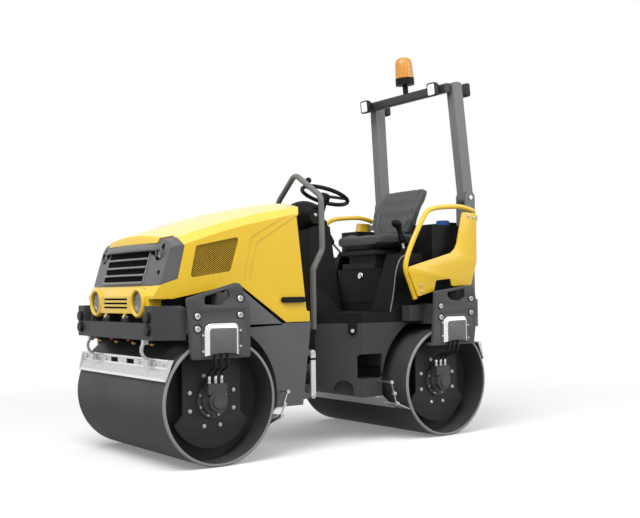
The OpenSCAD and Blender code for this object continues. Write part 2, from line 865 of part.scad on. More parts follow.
module hood() {
  color(yellow) {
    difference() {
      hood_shell();
      plate_xz(grille_side, -600, 600);
      for (side = [-1, 1])
        cyl_x(side * headlight_y, headlight_z, lamp_ring_d - 2, 1150, 1300);
      for (z = slot_z)
        box([1150, -slot_y, z], [1300, slot_y, z + slot_h]);
      both_sides() {
        plate_xz(mesh_outline, hood_y - 60, hood_y + 20);
        plate_xz(panel_border, hood_y - panel_step, hood_y + 1);
        plate_xz(panel_outline, hood_y - 2 * panel_step, hood_y + 1);
      }
    }
    for (side = [-1, 1])
      translate([lamp_ring_x, side * headlight_y, headlight_z])
        lamp_ring();
    difference() {
      union() {
        for (side = [-1, 1]) {
          cyl_y(hinge_x, hinge_z, 2 * hinge_r, side * hinge_y - hinge_tab_t / 2, side * hinge_y + hinge_tab_t / 2);
          box([hinge_x - 8, side * hinge_y - hinge_tab_t / 2, hinge_z],
              [hinge_x + 5, side * hinge_y + hinge_tab_t / 2, hood_nose_z + 20]);
        }
      }
      for (side = [-1, 1])
        cyl_y(hinge_x, hinge_z, hinge_pin_d + 2 * running_gap, side * hinge_y - 40, side * hinge_y + 40);
    }
  }
}

module grille() {
  blade = louvre_z[1] - louvre_z[0] - louvre_h;
  color(black) {
    difference() {
      union() {
        difference() {
          intersection() {
            hood_shell();
            translate([grille_gap, 0, grille_gap])
              plate_xz(grille_side, -600, 600);
          }
          box([1000, -louvre_y, louvre_z[0] - louvre_h], [1300, louvre_y, louvre_top_z]);
        }
        for (side = [-1, 1])
          cyl_x(side * marker_y, marker_z, marker_cup_d, 1096, 1132);
      }
      for (side = [-1, 1])
        cyl_x(side * marker_y, marker_z, marker_d + 2 * running_gap, 1000, 1300);
      cyl_x(410, 1085, vent_d, 1000, 1300);
    }
    for (z = louvre_z)
      bowed([[grille_x(z) - 2, z], [grille_x(z) - 2, z + blade / 2], [grille_x(z) - louvre_depth, z + 1.5 * blade],
             [grille_x(z) - louvre_depth, z + blade]], louvre_y + 4);
  }
}

module headlights() {
  color(lens)
    for (side = [-1, 1])
      cyl_x(side * headlight_y, headlight_z, headlight_d - 2 * running_gap, lamp_ring_x, lamp_ring_x + 18);
}

module marker_lamps() {
  color(lens)
    for (side = [-1, 1])
      cyl_x(side * marker_y, marker_z, marker_d, 1096, 1124);
}

module hood_mesh() {
  color(black)
    both_sides()
      plate_xz(mesh_outline, hood_y - hood_wall, hood_y - hood_wall + 4);
}

module hood_latches() {
  color(black)
    both_sides()
      plate_xz(rounded([[203, 908], [215, 903], [362, 903], [374, 920], [362, 937], [215, 937], [203, 932]], 4, 3),
               hood_y - 2 * panel_step, hood_y + 12);
}

module engine_block() {
  color(black) {
    box([330, -250, front_top_z], [860, 250, 1240]);
    box([960, -330, deck_z + deck_t], [1060, 330, 1180]);
  }
}

// The bar that locks the articulation, stowed on its two lugs
module lock_bar() {
  color(silver) {
    box([lock_x - lock_lug / 2, front_box_y, lock_bar_z[0]], [lock_x + lock_lug / 2, front_box_y + lock_bar_t, lock_bar_z[1]]);
    for (z = lock_bar_z)
      cyl_y(lock_x, z, lock_lug, front_box_y, front_box_y + lock_bar_t);
  }
}

// Scrapers

scraper_gap = 6;
scraper_t = 6;
scraper_low_z = axle_z + 130;
scraper_foot_z = axle_z + 192;
scraper_high_z = axle_z + 247;
scraper_y = drum_w / 2 - 5;
scraper_arm_y = 380;
scraper_arm_w = 14;
scraper_x = axle_x + sqrt(pow(drum_r + scraper_gap, 2) - pow(scraper_low_z - axle_z, 2));
web_x = scraper_x - 27;
web_slot = [60, 160];
web_bolt_d = 26;
web_bolt_y = [230, 330, 430, 530];
arm_r = 60;
arm_c = [web_x + 10, (scraper_high_z + bumper_low_z) / 2 - 4];
toe_angle = 25;

// Cross-section of the outer scraper: a flange, an upright web and a blade inclined to the drum
scraper_profile = [[web_x - 22, scraper_high_z], [web_x + scraper_t, scraper_high_z], [web_x + scraper_t, scraper_foot_z + 8],
                   [scraper_x + scraper_t, scraper_low_z + 2], [scraper_x, scraper_low_z], [web_x, scraper_foot_z],
                   [web_x, scraper_high_z - scraper_t], [web_x - 22, scraper_high_z - scraper_t]];

// A curved arm from a lug under the bumper down to the web
module scraper_arm() {
  plate_xz(concat(arc(arm_c.x, arm_c.y, arm_r, 60, -75, 12), arc(arm_c.x, arm_c.y, arm_r - 15, -75, 60, 12)),
           scraper_arm_y - scraper_arm_w / 2, scraper_arm_y + scraper_arm_w / 2);
  box([bumper_x - bumper_t + 1, scraper_arm_y - scraper_arm_w, arm_c.y + arm_r - 30],
      [bumper_x - bumper_t + 32, scraper_arm_y + scraper_arm_w, bumper_low_z]);
  box([web_x + 1, scraper_arm_y - 2 * scraper_arm_w, scraper_foot_z + 12],
      [arm_c.x + 30, scraper_arm_y + 2 * scraper_arm_w, scraper_high_z - 3]);
}

// The outer scraper hung from the bumper, and the inner one under the frame's box, for the front drum
module scraper_pair(box_y) {
  low_angle = asin((axle_z - box_low_z) / arch_r);
  heel_x = axle_x - arch_r * cos(low_angle);
  toe_x = axle_x - (drum_r + scraper_gap) * cos(toe_angle);
  toe_z = axle_z - (drum_r + scraper_gap) * sin(toe_angle);
  difference() {
    plate_xz(scraper_profile, -scraper_y, scraper_y);
    both_sides()
      box([web_x - 1, web_slot[0], scraper_foot_z + 14], [web_x + scraper_t + 1, web_slot[1], scraper_high_z - 14]);
  }
  both_sides() {
    scraper_arm();
    for (y = web_bolt_y)
      cyl_x(y, (scraper_foot_z + scraper_high_z) / 2 + 4, web_bolt_d, web_x + 1, web_x + scraper_t + 8);
    plate_xz([scraper_profile[0], scraper_profile[1], scraper_profile[3], scraper_profile[4]], scraper_y - 1,
             scraper_y + scraper_t);
  }
  plate_xz([[heel_x - 60, box_low_z], [heel_x, box_low_z], [toe_x, toe_z], [toe_x - 6, toe_z - 6],
            [heel_x - 6, box_low_z - 8], [heel_x - 60, box_low_z - 8]], -box_y, box_y);
}

module front_scrapers() {
  color(zinc)
    scraper_pair(front_box_y);
}

module rear_scrapers() {
  color(zinc)
    mirror([1, 0, 0])
      scraper_pair(rear_box_y);
}

spray_x = bumper_x - 78;
spray_d = 26;
spray_y = 520;
nozzle_y = [120, 360];
nozzle_d = 22;
nozzle_low_z = 690;

// The water spray bar hung from the front deck, with four nozzles
module spray_bar() {
  bar_z = deck_z - 22;
  rod([spray_x, -spray_y, bar_z], [spray_x, spray_y, bar_z], spray_d);
  both_sides()
    for (y = nozzle_y) {
      box([spray_x - spray_d / 2, y + 40, bar_z], [spray_x + spray_d / 2, y + 60, deck_z]);
      translate([spray_x, y, nozzle_low_z])
        cylinder(d = nozzle_d, h = bar_z - nozzle_low_z);
    }
}

module front_spray_bar() {
  color(black)
    spray_bar();
}

module rear_spray_bar() {
  color(black)
    mirror([1, 0, 0])
      spray_bar();
}

// Platform

sill_z = rear_top_z;
gusset_x = -3;
lug_way = 0.2;
lug_z = 712;
lug_d = 56;
lug_t = 12;

module platform() {
  color(black) {
    translate([0, 0, sill_z])
      linear_extrude(floor_z - sill_z)
        polygon([[pedestal_x, -platform_y], [rear_corner_x, -platform_y], [rear_nose_x, -nose_y], [rear_nose_x, nose_y],
                 [rear_corner_x, platform_y], [pedestal_x, platform_y]]);
    both_sides()
      plate_xz([[gusset_x, 977], [-109, 977], [-266, floor_z - 1], [rear_nose_x, floor_z - 1], [gusset_x, floor_z + 20]],
               nose_y - 25, nose_y);
    both_sides()
      translate([rear_corner_x + lug_way * (rear_nose_x - rear_corner_x), rear_box_y + lug_way * (nose_y - rear_box_y), 0])
        rotate([0, 0, taper_angle]) {
          cyl_y(0, lug_z, lug_d, running_gap, lug_t);
          box([-lug_d / 2, running_gap, lug_z], [lug_d / 2, lug_t, sill_z + 20]);
          box([-lug_d / 2, -lug_t, sill_z + 1], [lug_d / 2, lug_t, sill_z + 20]);
        }
  }
}

fender_inner_y = 260;

bracket_x = [-690, -640];
bracket_z = [955, 990];

// The boxes beside the seat, each with the bracket that carries the guard panel's lower corner
module fenders() {
  low_z = rail_top_z + running_gap;
  color(black)
    both_sides() {
      plate_xz([[-500, floor_z], [-640, 1215], [-800, 1215], [-800, 980], [-690, low_z], [pedestal_x, low_z],
                [pedestal_x, floor_z]], fender_inner_y, platform_y);
      box([bracket_x[0], platform_y - 1, bracket_z[0]], [bracket_x[1], guard_y, bracket_z[1]]);
    }
}

// The console's neck under the dash pod
module console_form() {
  plate_xz([[-80, floor_z], [-80, 1380], [-150, 1430], [-250, 1400], [-340, floor_z]], -140, 140);
}

module console() {
  color(black)
    difference() {
      console_form();
      pod_form(running_gap);
    }
}

pod_x = -125;
pod_z = 1475;
pod_y = 165;
pod_mid_r = 104;
pod_end_r = 62;

// The barrel-shaped pod across the console's top, grown by a clearance
module pod_form(grow) {
  translate([pod_x, 0, pod_z])
    rotate([90, 0, 0])
      rotate_extrude()
        polygon(concat([[0, -pod_y - grow]],
                       [for (i = [-8 : 8]) [pod_r(pod_y * i / 8) + grow, (pod_y + grow) * i / 8]],
                       [[0, pod_y + grow]]));
}

groove_y = [38, 82, 120];
groove_w = 4;
pod_recess = 14;

// The pod's radius at a distance y from its middle
function pod_r(y) = pod_end_r + (pod_mid_r - pod_end_r) * cos(90 * y / pod_y);

module dash_pod() {
  color(black)
    difference() {
      pod_form(0);
      both_sides() {
        cyl_y(pod_x, pod_z, 1.5 * pod_end_r, pod_y - pod_recess, pod_y + 1);
        for (y = groove_y)
          translate([pod_x, y, pod_z])
            rotate([90, 0, 0])
              rotate_extrude()
                translate([pod_r(y) - groove_w, -groove_w / 2])
                  square([3 * groove_w, groove_w]);
      }
    }
}

wheel_tilt = 20;
wheel_c = [-315, 0, 1625];
wheel_rim_d = 28;
spinner_d = 42;
spinner_h = 44;
wheel_axis = [sin(-wheel_tilt), 0, cos(wheel_tilt)];

column_d = 60;
wheel_shaft_d = 24;
hub_d = 80;
hub_h = 45;
column_foot = wheel_c - wheel_axis * 260;

module steering_column() {
  color(black)
    difference() {
      union() {
        rod(column_foot, wheel_c - wheel_axis * hub_h, column_d);
        rod(column_foot, wheel_c, wheel_shaft_d);
      }
      console_form();
      pod_form(running_gap);
    }
}

module steering_wheel() {
  rim_r = (wheel_d - wheel_rim_d) / 2;
  color(black)
    translate(wheel_c)
      rotate([0, -wheel_tilt, 0])
        difference() {
          union() {
            rotate_extrude()
              translate([rim_r, 0])
                circle(d = wheel_rim_d);
            translate([0, 0, moving_gap - hub_h])
              cylinder(d = hub_d, h = hub_h);
            for (a = [0, 120, 240])
              rotate([0, 0, a])
                box([20, -14, -10], [rim_r, 14, 2]);
            translate([rim_r, 0, 0]) {
              cylinder(d = spinner_d / 2, h = spinner_h);
              translate([0, 0, spinner_h])
                sphere(d = spinner_d);
            }
          }
          translate([0, 0, -hub_h])
            cylinder(d = wheel_shaft_d + 2 * running_gap, h = hub_h + running_gap);
        }
}

handrail_y = nose_y + handrail_d / 2 + running_gap;
handrail_bend = 70;

// The handrail's route on the left, from its foot to the bend where it leans in
handrail_left = [[-14, handrail_y, 726], [-14, handrail_y, 1110], [-98, handrail_y - 10, 1240], [-98, handrail_y - 16, 1587]];
handrail_top = [-70, 0, handrail_top_z - handrail_d / 2];

module handrail() {
  n = len(handrail_left) - 1;
  color(frame_grey)
    bent_tube(concat(handrail_left, [handrail_top],
                     [for (i = [n : -1 : 0]) [handrail_left[i].x, -handrail_left[i].y, handrail_left[i].z]]),
              handrail_d, handrail_bend, [1, 0, 0]);
}

// Seat

pedestal_x = -605;
pedestal_y = 245;
pedestal_z = 1120;
door_y = 238;
door_t = 4;

module seat_pedestal() {
  color(black)
    union() {
      box([-1100, -pedestal_y, deck_z + deck_t], [pedestal_x, pedestal_y, pedestal_z]);
      translate([pedestal_x - 1, 0, 0])
        rotate([90, 0, 90])
          linear_extrude(door_t + 1)
            polygon([[-door_y + 22, 885], [door_y - 22, 885], [door_y, pedestal_z - 6], [-door_y, pedestal_z - 6]]);
    }
}

module seat_suspension() {
  color(black) {
    box([-940, -180, pedestal_z], [-600, 180, pedestal_z + 40]);
    box([-900, -150, pedestal_z + 40], [-640, 150, seat_z - 30]);
    box([-950, -190, seat_z - 30], [-595, 190, seat_z]);
  }
}

seat_top_z = 1345;
bolster_z = 1385;
bolster_w = 62;
back_top_z = 1690;

module seat_cushion() {
  low_z = seat_z + running_gap;
  color(black) {
    plate_xz(rounded([[-960, low_z], [-600, low_z], [-582, 1285], [-590, seat_top_z - 8], [-640, seat_top_z],
                      [-960, seat_top_z - 10]], 8, 3), -seat_y, seat_y);
    both_sides()
      plate_xz(rounded([[-960, low_z + 20], [-640, low_z + 20], [-612, seat_top_z], [-680, bolster_z],
                        [-960, bolster_z]], 14, 3), seat_y - bolster_w, seat_y);
  }
}

// The winged backrest: a leaning slab cut to its outline from the front
module seat_backrest() {
  low_z = bolster_z + running_gap;
  color(black)
    intersection() {
      plate_xz([[-905, low_z], [-1010, low_z], [-1110, back_top_z], [-1030, back_top_z]], -seat_y, seat_y);
      translate([-1200, 0, 0])
        rotate([90, 0, 90])
          linear_extrude(400)
            polygon(rounded([[-190, low_z - 20], [190, low_z - 20], [225, 1500], [222, 1600], [170, back_top_z],
                             [-170, back_top_z], [-222, 1600], [-225, 1500]], 24));
    }
}

lever_y = 300;
boot_h = 40;

// A travel lever: a boot on the fender, a thin rod and a thick grip with a collar
module lever(foot, neck, tip, y) {
  translate([foot.x, y, foot.y])
    cylinder(d1 = 80, d2 = 40, h = boot_h);
  rod([foot.x, y, foot.y + boot_h / 2], [neck.x, y, neck.y], 16);
  rod([neck.x, y, neck.y], [tip.x, y, tip.y], 36);
  translate([neck.x, y, neck.y])
    sphere(d = 46);
  translate([tip.x, y, tip.y])
    sphere(d = 52);
}

module travel_levers() {
  color(black) {
    lever([-768, 1215], [-748, 1318], [-713, 1420], lever_y);
    lever([-690, 1215], [-588, 1330], [-522, 1462], -lever_y);
  }
}

// Guards

guard_t = 12;

module guard_panels() {
  color(yellow)
    both_sides()
      plate_xz(rounded([[-1185, 1492], [-1057, 1493], [-993, 1264], [-953, 1222], [-570, 1113], [-536, 1088], [-629, 921],
                        [-789, 972], [-802, 1024], [-940, 1035], [-1128, 995], [-1184, 1170]], 9, 3),
               guard_y, guard_y + guard_t);
}

guard_rail_y = guard_y - guard_d / 2 - running_gap;

module guard_rails() {
  color(yellow)
    both_sides()
      bent_tube([[-634, guard_rail_y, 912], [-529, guard_rail_y, 1099], [-594, guard_rail_y, 1263],
                 [-731, guard_rail_y, 1486], [-1000, guard_rail_y, 1533], [-1182, guard_rail_y, 1506]], guard_d, 60, [0, 1, 0]);
}

arm_top_z = fork_bolt_z[1][1] + arm_cap;
tank_y = 390;
tank_top_z = 1410;
cap_d = 92;
cap_h = 34;

module water_tank() {
  color(black) {
    both_sides()
      box([-1105, 300, arm_top_z + running_gap], [-840, 500, tank_top_z]);
    box([rear_end_x + 2, -tank_y, deck_z + deck_t], [-1112, tank_y, tank_top_z + 30]);
  }
}

module tank_cap() {
  color(blue)
    translate([-1000, 440, tank_top_z]) {
      linear_extrude(cap_h - 6)
        polygon([for (i = [0 : 71]) (cap_d / 2 - (i % 4 < 2 ? 0 : 3)) * [cos(5 * i), sin(5 * i)]]);
      cylinder(d = cap_d - 8, h = cap_h);
    }
}

// Roll-over frame

rops_pin_x = -1213;
rops_pin_d = 30;
rops_y = 450;
cheek_t = 12;
cheek_gap = 3;
cheek_r = 45;
rops_pin_y0 = rops_y - post_w / 2 - cheek_gap - cheek_t - 8;
rops_pin_y1 = rops_y + post_w / 2 + cheek_gap + cheek_t + 8;
rops_lean = 4.7;
rops_tuck = 1.9;
heel_gap = 8;
post_len = rops_top_z - rops_pin_z;
stay_z = 1460;
post_top_r = 24;

// The fixed lower posts, each with two cheeks for the hinge pin and a stay for the guard panel
module rops_sockets() {
  top_z = rops_pin_z - post_depth / 2 - heel_gap;
  color(black)
    both_sides()
      difference() {
        union() {
          plate_xz([[rops_pin_x - post_depth / 2, post_foot_z], [rops_pin_x + post_depth / 2, post_foot_z],
                    [rops_pin_x + post_depth / 2, top_z], [rops_pin_x, top_z],
                    [rops_pin_x - post_depth / 2, top_z - post_depth / 2]],
                   rops_y - post_w / 2, rops_y + post_w / 2);
          for (side = [-1, 1]) {
            y = rops_y + side * (post_w / 2 + cheek_gap + cheek_t / 2);
            cyl_y(rops_pin_x, rops_pin_z, 2 * cheek_r, y - cheek_t / 2, y + cheek_t / 2);
            box([rops_pin_x - cheek_r, y - cheek_t / 2, top_z - 150], [rops_pin_x + cheek_r, y + cheek_t / 2, rops_pin_z]);
          }
          box([rops_pin_x - cheek_r, rops_y - post_w / 2 - cheek_gap - 1, top_z - 150],
              [rops_pin_x + cheek_r, rops_y + post_w / 2 + cheek_gap + 1, top_z - post_depth / 2]);
          box([rops_pin_x + 10, rops_y, stay_z - 20], [rops_pin_x + 60, guard_y, stay_z + 20]);
        }
        cyl_y(rops_pin_x, rops_pin_z, rops_pin_d + 2 * running_gap, rops_y - 100, rops_y + 100);
      }
}

// The folding frame's own axes: origin on the hinge line, leaning with the posts
module leaning() {
  translate([rops_pin_x, 0, rops_pin_z])
    rotate([0, rops_lean, 0])
      children();
}

// A post from the hinge up, leaning forward and tucked in towards the top
module rops_posts() {
  color(black)
    both_sides()
      difference() {
        translate([rops_pin_x, rops_y, rops_pin_z])
          rotate([rops_tuck, rops_lean, 0]) {
            rotate([90, 0, 0])
              translate([0, 0, -post_w / 2])
                cylinder(d = post_depth, h = post_w);
            plate_xz(concat([[-post_depth / 2, 0], [post_depth / 2, 0]],
                            arc(post_depth / 2 - post_top_r, post_len - post_top_r, post_top_r, 0, 90, 6),
                            arc(post_top_r - post_depth / 2, post_len - post_top_r, post_top_r, 90, 180, 6)),
                     -post_w / 2, post_w / 2);
          }
        cyl_y(rops_pin_x, rops_pin_z, rops_pin_d + 2 * running_gap, rops_y - 100, rops_y + 100);
      }
}

bar_depth = 62;
bar_h = 64;
bar_r = 16;
bar_y = 440;
bar_low = post_len - bar_h - 8;

module rops_crossbar() {
  color(black)
    leaning()
      plate_xz(rounded([[post_depth / 2, bar_low], [post_depth / 2 + bar_depth, bar_low],
                        [post_depth / 2 + bar_depth, bar_low + bar_h], [post_depth / 2, bar_low + bar_h]], bar_r),
               -bar_y, bar_y);
}

lamp_y = 372;
lamp_w = 85;
lamp_h = 95;
lamp_depth = 70;
rear_lamp_y = 434;
rear_lamp_depth = 60;

// A lamp's housing along X, tapering towards its mounting face
module lamp_form(depth) {
  w = lamp_w / 2;
  h = lamp_h / 2;
  neck = depth * 0.6;
  intersection() {
    plate_xz([[0, -0.6 * h], [neck, -h], [depth, -h], [depth, h], [neck, h], [0, 0.6 * h]], -w, w);
    translate([0, 0, -h])
      linear_extrude(lamp_h)
        polygon([[0, -0.6 * w], [neck, -w], [depth, -w], [depth, w], [neck, w], [0, 0.6 * w]]);
  }
}

// Work lamps: two on the crossbar facing forward, two behind the posts facing back
module work_lamps() {
  color(black)
    leaning()
      both_sides() {
        translate([post_depth / 2 + bar_depth, lamp_y, bar_low + 28])
          lamp_form(lamp_depth);
        translate([-post_depth / 2, rear_lamp_y, bar_low + 18])
          mirror([1, 0, 0])
            lamp_form(rear_lamp_depth);
      }
}

beacon_x = post_depth / 2 + bar_depth / 2;
beacon_stem_h = 65;
beacon_base_h = 50;
beacon_dome_h = 155;

module beacon_base() {
  color(black)
    leaning()
      translate([beacon_x, 0, bar_low + bar_h]) {
        cylinder(d = 40, h = beacon_stem_h);
        translate([0, 0, beacon_stem_h])
          cylinder(d = beacon_d, h = beacon_base_h);
      }
}

module beacon_dome() {
  dome_r = (beacon_d - 6) / 2;
  color(amber)
    leaning()
      translate([beacon_x, 0, bar_low + bar_h + beacon_stem_h + beacon_base_h])
        rotate_extrude()
          polygon(concat([[0, 0], [dome_r, 0]], arc(dome_r - 26, beacon_dome_h - 26, 26, 0, 90, 6), [[0, beacon_dome_h]]));
}

front_frame();
front_bumper();
front_buffers();
front_forks();
front_covers();
front_motors();
front_hoses();
front_scrapers();
front_spray_bar();
front_drum();
engine_block();
lock_bar();
hood_hinge_pins();
hood();
grille();
headlights();
marker_lamps();
hood_mesh();
hood_latches();
knuckle();
steer_barrel();
steer_rod();
rear_frame();
hinge_pins();
platform();
fenders();
console();
dash_pod();
steering_column();
steering_wheel();
handrail();
seat_pedestal();
seat_suspension();
seat_cushion();
seat_backrest();
travel_levers();
guard_panels();
guard_rails();
water_tank();
tank_cap();
rear_forks();
rear_covers();
rear_motors();
rear_hoses();
rear_scrapers();
rear_spray_bar();
rear_drum();
rear_bumper();
rear_buffers();
rops_sockets();
rops_posts();
rops_crossbar();
work_lamps();
beacon_base();
beacon_dome();
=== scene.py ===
"""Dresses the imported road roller: finishes for every solid, the padded seat, lamps, fasteners and the studio."""
import json
import math

import bmesh
import bpy
import numpy as np
from mathutils import Euler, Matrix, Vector
from mathutils.bvhtree import BVHTree


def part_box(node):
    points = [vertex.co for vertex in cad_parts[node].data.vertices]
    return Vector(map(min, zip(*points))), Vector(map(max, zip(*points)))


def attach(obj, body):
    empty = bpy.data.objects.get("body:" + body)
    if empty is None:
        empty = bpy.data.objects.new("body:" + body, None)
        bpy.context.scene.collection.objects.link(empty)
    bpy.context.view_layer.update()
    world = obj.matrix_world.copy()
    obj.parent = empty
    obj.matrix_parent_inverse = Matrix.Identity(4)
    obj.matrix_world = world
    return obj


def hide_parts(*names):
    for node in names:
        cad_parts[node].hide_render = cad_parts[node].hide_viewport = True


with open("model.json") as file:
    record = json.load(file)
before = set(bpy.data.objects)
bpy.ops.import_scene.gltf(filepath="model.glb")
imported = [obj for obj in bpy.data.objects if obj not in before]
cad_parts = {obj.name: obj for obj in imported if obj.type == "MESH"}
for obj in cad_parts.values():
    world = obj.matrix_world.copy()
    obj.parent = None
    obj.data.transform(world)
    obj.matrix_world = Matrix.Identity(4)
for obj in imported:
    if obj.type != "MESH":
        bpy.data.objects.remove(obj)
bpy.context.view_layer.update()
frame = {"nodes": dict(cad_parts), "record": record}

bl_info = {
    "name": "Road roller dressing",
    "version": (1, 0, 0),
    "blender": (4, 5, 0),
    "location": "View3D > Sidebar > Roller",
    "description": "Finishes, seat, lamps, fasteners and studio for the packed road roller",
    "category": "Object",
}

MATERIALS = {}
MM = 0.001
SIDES = (1.0, -1.0)
UNITS = (("front", 1.0), ("rear", -1.0))
WHITE = (1.0, 1.0, 1.0, 1.0)

# Places on the frame, in metres, as the part's own sizes give them.
AXLE_X = 0.865
AXLE_Z = 0.36
DRUM_HALF_WIDTH = 0.5945
FORK_X = 0.905
FORK_FACE_Y = 0.637
LEG_FACE_Y = 0.495
LEG_CIRCLE = 0.15
RECESS_Y = 0.632
RECESS_RADIUS = 0.025
RIM_Y = 0.642
FLANGE_Y = 0.507
FLANGE_CIRCLE = 0.0865
COVER_FOOT_Z = 0.216
COVER_FOOT_RADIUS = 0.42
GUARD_FACE_Y = 0.582
GRILLE_BOW = 7.2
POST_PIN = np.array((-1.213, 0.0, 1.611))
POST_LEAN = math.radians(4.7)


# Arrays and meshes

def grid_faces(rows, columns, wrap_rows=False, wrap_columns=False):
    """Quads of a grid of points numbered row by row; a wrapped side joins its last line to its first."""
    i = np.arange(rows if wrap_rows else rows - 1)[:, None]
    j = np.arange(columns if wrap_columns else columns - 1)[None, :]
    k, m = (i + 1) % rows, (j + 1) % columns
    quads = np.stack([i * columns + j, i * columns + m, k * columns + m, k * columns + j], axis=-1)
    return quads.reshape(-1, 4)


def spin(profile, count, phase=0.0):
    """A profile of (radius, height) turned round Z: x = r cos a, y = r sin a, z = height."""
    profile = np.asarray(profile, float)
    turn = phase + np.linspace(0.0, 2.0 * np.pi, count, endpoint=False)
    radius, height = profile[:, 0], profile[:, 1]
    points = np.stack([np.outer(np.cos(turn), radius), np.outer(np.sin(turn), radius),
                       np.broadcast_to(height, (count, len(height)))], axis=-1)
    return points.reshape(-1, 3), grid_faces(count, len(profile), wrap_rows=True)


def axes_along(direction):
    """Three unit vectors as columns, the last of them along the direction."""
    w = np.asarray(direction, float) / np.linalg.norm(direction)
    side = np.array((0.0, 0.0, 1.0)) if abs(w[2]) < 0.9 else np.array((1.0, 0.0, 0.0))
    u = np.cross(side, w)
    u /= np.linalg.norm(u)
    return np.stack([u, np.cross(w, u), w], axis=1)


def set_at(part, place, direction=(0.0, 0.0, 1.0)):
    """A shape made along Z, turned so that Z runs along the direction and moved to its place."""
    points, faces = part
    return points @ axes_along(direction).T + np.asarray(place, float), faces


def joined(parts):
    """Several shapes as one: their points in one list, their faces, of any number of corners, renumbered."""
    starts = np.cumsum([0] + [len(points) for points, _ in parts[:-1]]).tolist()
    faces = []
    for (_, part_faces), start in zip(parts, starts):
        if isinstance(part_faces, np.ndarray):
            faces += (part_faces + start).tolist()
        else:
            faces += [[corner + start for corner in face] for face in part_faces]
    return np.concatenate([points for points, _ in parts]), faces


def mirrored(points):
    """The same points on the machine's other side."""
    return points * np.array((1.0, -1.0, 1.0))


def paired(parts):
    """Several shapes and their mirror images on the machine's other side, as one."""
    return joined(parts + [(mirrored(points), faces) for points, faces in parts])


def in_mm(rows):
    """Sizes written in millimetres, in metres."""
    return MM * np.array(rows, float)


def tube(path, radius, count=8, closed=False):
    """A circle carried along a path: each point's ring stands square to the mean of its two stretches."""
    path = np.asarray(path, float)
    ahead = np.roll(path, -1, axis=0) - path
    behind = path - np.roll(path, 1, axis=0)
    if not closed:
        ahead[-1], behind[0] = behind[-1], ahead[0]
    along = ahead / np.linalg.norm(ahead, axis=1)[:, None] + behind / np.linalg.norm(behind, axis=1)[:, None]
    along /= np.linalg.norm(along, axis=1)[:, None]
    helper = np.where(np.abs(along[:, 2:3]) < 0.9, np.array((0.0, 0.0, 1.0)), np.array((1.0, 0.0, 0.0)))
    u = np.cross(helper, along)
    u /= np.linalg.norm(u, axis=1)[:, None]
    v = np.cross(along, u)
    turn = np.linspace(0.0, 2.0 * np.pi, count, endpoint=False)
    ring = np.cos(turn)[None, :, None] * u[:, None, :] + np.sin(turn)[None, :, None] * v[:, None, :]
    points = path[:, None, :] + radius * ring
    return points.reshape(-1, 3), grid_faces(len(path), count, wrap_rows=closed, wrap_columns=True)


def loft(rows, count=40, power=7.0):
    """Superellipses |u|^p + |v|^p = 1 set one behind the other along Z, each row giving height and two half sizes."""
    rows = np.asarray(rows, float)
    turn = np.linspace(0.0, 2.0 * np.pi, count, endpoint=False)
    u = np.sign(np.cos(turn)) * np.abs(np.cos(turn)) ** (2.0 / power)
    v = np.sign(np.sin(turn)) * np.abs(np.sin(turn)) ** (2.0 / power)
    points = np.stack([np.outer(rows[:, 1], u), np.outer(rows[:, 2], v),
                       np.broadcast_to(rows[:, :1], (len(rows), count))], axis=-1)
    return points.reshape(-1, 3), grid_faces(len(rows), count, wrap_columns=True)


def filleted(outline, radius, count=6):
    """A closed outline whose corners c are replaced by curves (1-s)^2 p + 2 s (1-s) c + s^2 q, where p and q lie
    on the two sides that meet there."""
    c = np.asarray(outline, float)
    back, ahead = np.roll(c, 1, axis=0) - c, np.roll(c, -1, axis=0) - c
    long_back, long_ahead = np.linalg.norm(back, axis=1), np.linalg.norm(ahead, axis=1)
    u, v = back / long_back[:, None], ahead / long_ahead[:, None]
    half = 0.5 * np.arccos(np.clip((u * v).sum(axis=1), -1.0, 1.0))
    reach = np.minimum(radius / np.tan(half), 0.45 * np.minimum(long_back, long_ahead))[:, None]
    s = np.linspace(0.0, 1.0, count)[None, :, None]
    p, q = (c + u * reach)[:, None, :], (c + v * reach)[:, None, :]
    return ((1.0 - s) ** 2 * p + 2.0 * s * (1.0 - s) * c[:, None, :] + s ** 2 * q).reshape(-1, 2)


def ring(x, z, radius, count=32):
    """A circle in X and Z."""
    turn = np.linspace(0.0, 2.0 * np.pi, count, endpoint=False)
    return np.stack([x + radius * np.cos(turn), z + radius * np.sin(turn)], axis=1)


def upright(line, y):
    """A line in X and Z, set at a level of Y."""
    return np.stack([line[:, 0], np.full(len(line), y), line[:, 1]], axis=1)


def plate(outlines, low, high, edge=0.002):
    """A flat plate between two levels of Y: the area between closed outlines in X and Z, with rounded edges."""
    curve = bpy.data.curves.new("outline", "CURVE")
    curve.dimensions, curve.fill_mode = "2D", "BOTH"
    curve.extrude, curve.offset = 0.5 * (high - low) - edge, -edge
    curve.bevel_depth, curve.bevel_resolution = edge, 1
    for outline in outlines:
        line = curve.splines.new("POLY")
        line.points.add(len(outline) - 1)
        weighted = np.column_stack([outline, np.zeros(len(outline)), np.ones(len(outline))])
        line.points.foreach_set("co", weighted.ravel())
        line.use_cyclic_u = True
    holder = bpy.data.objects.new("outline", curve)
    filled = bpy.data.meshes.new_from_object(holder)
    flat = np.empty(3 * len(filled.vertices))
    filled.vertices.foreach_get("co", flat)
    faces = [list(face.vertices) for face in filled.polygons]
    bpy.data.objects.remove(holder)
    bpy.data.curves.remove(curve)
    bpy.data.meshes.remove(filled)
    flat = flat.reshape(-1, 3)
    return np.stack([flat[:, 0], 0.5 * (low + high) + flat[:, 2], flat[:, 1]], axis=1), faces


